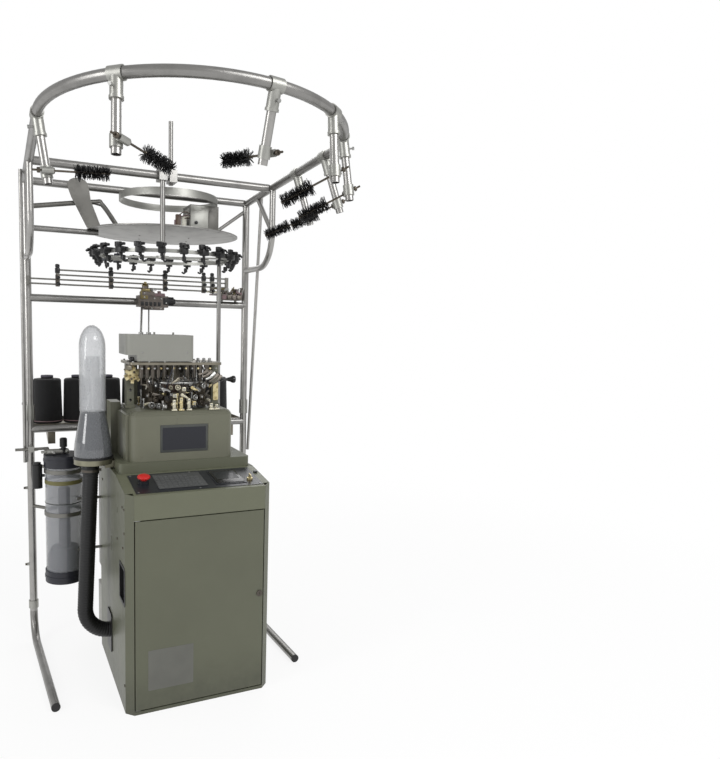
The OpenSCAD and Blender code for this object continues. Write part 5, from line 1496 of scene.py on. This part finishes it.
class KNIT_OT_stage(bpy.types.Operator):
    """Sets the pale floor, the soft light and the camera"""

    bl_idname = "knit.stage"
    bl_label = "Stage"

    def execute(self, context):
        scene = context.scene
        scene.view_settings.view_transform = "Standard"
        self.floor(scene)
        self.sky(scene)
        key = scene.knit_stage.key
        self.lamp("key_light", (1.6, -3.6, 3.6), (0, 0, 1.0), (2.4, 2.0), key)
        self.lamp("left_light", (-3.6, -1.2, 2.2), (0, 0, 1.0), (1.1, 2.4), key * 0.50)
        self.lamp("rear_light", (1.2, 3.4, 3.2), (0, 0, 1.2), (2.6, 1.6), key * 0.35)
        self.camera(scene)
        return {"FINISHED"}

    def floor(self, scene):
        """Pale floor that keeps the shadow."""
        mesh = bpy.data.meshes.new("floor")
        bm = bmesh.new()
        bmesh.ops.create_grid(bm, x_segments=1, y_segments=1, size=FLOOR_REACH)
        bm.to_mesh(mesh)
        bm.free()
        ground = bpy.data.objects.new("floor", mesh)
        scene.collection.objects.link(ground)
        f = Finish("floor_pale")
        f.set(Base_Color=(0.97, 0.97, 0.97), Roughness=0.7, Specular_IOR_Level=0.1)
        seen = f.node("ShaderNodeLightPath", output="Is Camera Ray")
        mirror = f.node("ShaderNodeLightPath", output="Is Glossy Ray")
        through = f.node("ShaderNodeLightPath", output="Is Transmission Ray")
        glow = f.node("ShaderNodeEmission", None, {"Color": (1, 1, 1, 1), "Strength": 1.0})
        shown = seen.maths("MAXIMUM", seen, mirror)
        shown = seen.maths("MAXIMUM", shown, through)
        far = f.node("ShaderNodeVectorMath", {"operation": "LENGTH"}, {0: f.place()}, output="Value")
        share = far.above(GLOW_FROM, GLOW_FADE) * (1.0 - FLOOR_GLOW) + FLOOR_GLOW
        mixed = f.node(
            "ShaderNodeMixShader", None, {0: shown * share, 1: Field(f, f.shader.outputs[0]), 2: glow},
        )
        f.feed(f.tree.nodes["Material Output"].inputs["Surface"], mixed)
        mesh.materials.append(f.material)

    def sky(self, scene):
        """Even light from all round, white to the camera."""
        world = bpy.data.worlds.new("soft_light")
        scene.world = world
        world.use_nodes = True
        nodes = Nodes(world.node_tree)
        shown = nodes.node("ShaderNodeLightPath", output="Is Camera Ray")
        through = nodes.node("ShaderNodeLightPath", output="Is Transmission Ray")
        shown = shown.maths("MAXIMUM", shown, through)
        sky = scene.knit_stage.sky
        back = nodes.tree.nodes["Background"].inputs
        nodes.feed(back["Strength"], shown * (1.0 - sky) + sky)
        nodes.feed(back["Color"], (1, 1, 1, 1))

    def lamp(self, name, at, to, size, watts):
        """Soft rectangular lamp that faces a point."""
        light = bpy.data.lights.new(name, "AREA")
        light.shape = "RECTANGLE"
        light.size, light.size_y = size
        light.energy = watts
        holder = bpy.data.objects.new(name, light)
        bpy.context.scene.collection.objects.link(holder)
        holder.location = at
        holder.rotation_euler = (Vector(to) - Vector(at)).to_track_quat("-Z", "Y").to_euler()

    def camera(self, scene):
        """Camera of the photograph."""
        yaw, pitch, roll = (math.radians(angle) for angle in CAMERA_ANGLES)
        ahead = Vector((math.sin(yaw) * math.cos(pitch), math.cos(yaw) * math.cos(pitch), -math.sin(pitch)))
        level = Vector((math.cos(yaw), -math.sin(yaw), 0))
        down = ahead.cross(level)
        c, s = math.cos(roll), math.sin(roll)
        right = level * c + down * s
        below = down * c - level * s
        lens = bpy.data.cameras.new("camera")
        lens.sensor_width = SENSOR
        lens.lens = FOCAL * SENSOR / PHOTO_HEIGHT
        lens.shift_x = SHIFT[0] / PHOTO_HEIGHT
        lens.shift_y = SHIFT[1] / PHOTO_HEIGHT
        lens.clip_end = 50
        camera = bpy.data.objects.new("camera", lens)
        scene.collection.objects.link(camera)
        turn = Matrix((right, -below, -ahead)).transposed().to_4x4()
        camera.matrix_world = Matrix.Translation(CAMERA_AT) @ turn
        scene.camera = camera


OPERATORS = (
    KNIT_OT_node_finishes,
    KNIT_OT_brushes,
    KNIT_OT_suction_hose,
    KNIT_OT_console_controls,
    KNIT_OT_cabinet_trim,
    KNIT_OT_needles,
    KNIT_OT_cam_details,
    KNIT_OT_head_trim,
    KNIT_OT_guide_details,
    KNIT_OT_yarn_path_details,
    KNIT_OT_stand_details,
    KNIT_OT_stage,
)
GROUPS = ("knit_colours", "knit_brush", "knit_hose", "knit_stage")


class KNIT_PT_panel(bpy.types.Panel):
    """Lists the sizes and the steps that dress the machine"""

    bl_idname = "KNIT_PT_panel"
    bl_label = "Sock knitting machine"
    bl_space_type = "VIEW_3D"
    bl_region_type = "UI"
    bl_category = "Knitting"

    def draw(self, context):
        for name in GROUPS:
            group = getattr(context.scene, name)
            box = self.layout.box()
            for key in group.__annotations__:
                box.prop(group, key)
        for operator in OPERATORS:
            self.layout.operator(operator.bl_idname)


CLASSES = (FinishColours, BrushSizes, HoseSizes, StageLight, *OPERATORS, KNIT_PT_panel)


def register():
    for cls in CLASSES:
        bpy.utils.register_class(cls)
    bpy.types.Scene.knit_colours = PointerProperty(type=FinishColours)
    bpy.types.Scene.knit_brush = PointerProperty(type=BrushSizes)
    bpy.types.Scene.knit_hose = PointerProperty(type=HoseSizes)
    bpy.types.Scene.knit_stage = PointerProperty(type=StageLight)


def unregister():
    for name in GROUPS:
        delattr(bpy.types.Scene, name)
    for cls in reversed(CLASSES):
        bpy.utils.unregister_class(cls)


def main():
    register()
    for operator in OPERATORS:
        group, name = operator.bl_idname.split(".")
        getattr(getattr(bpy.ops, group), name)()


if __name__ == "__main__":
    main()
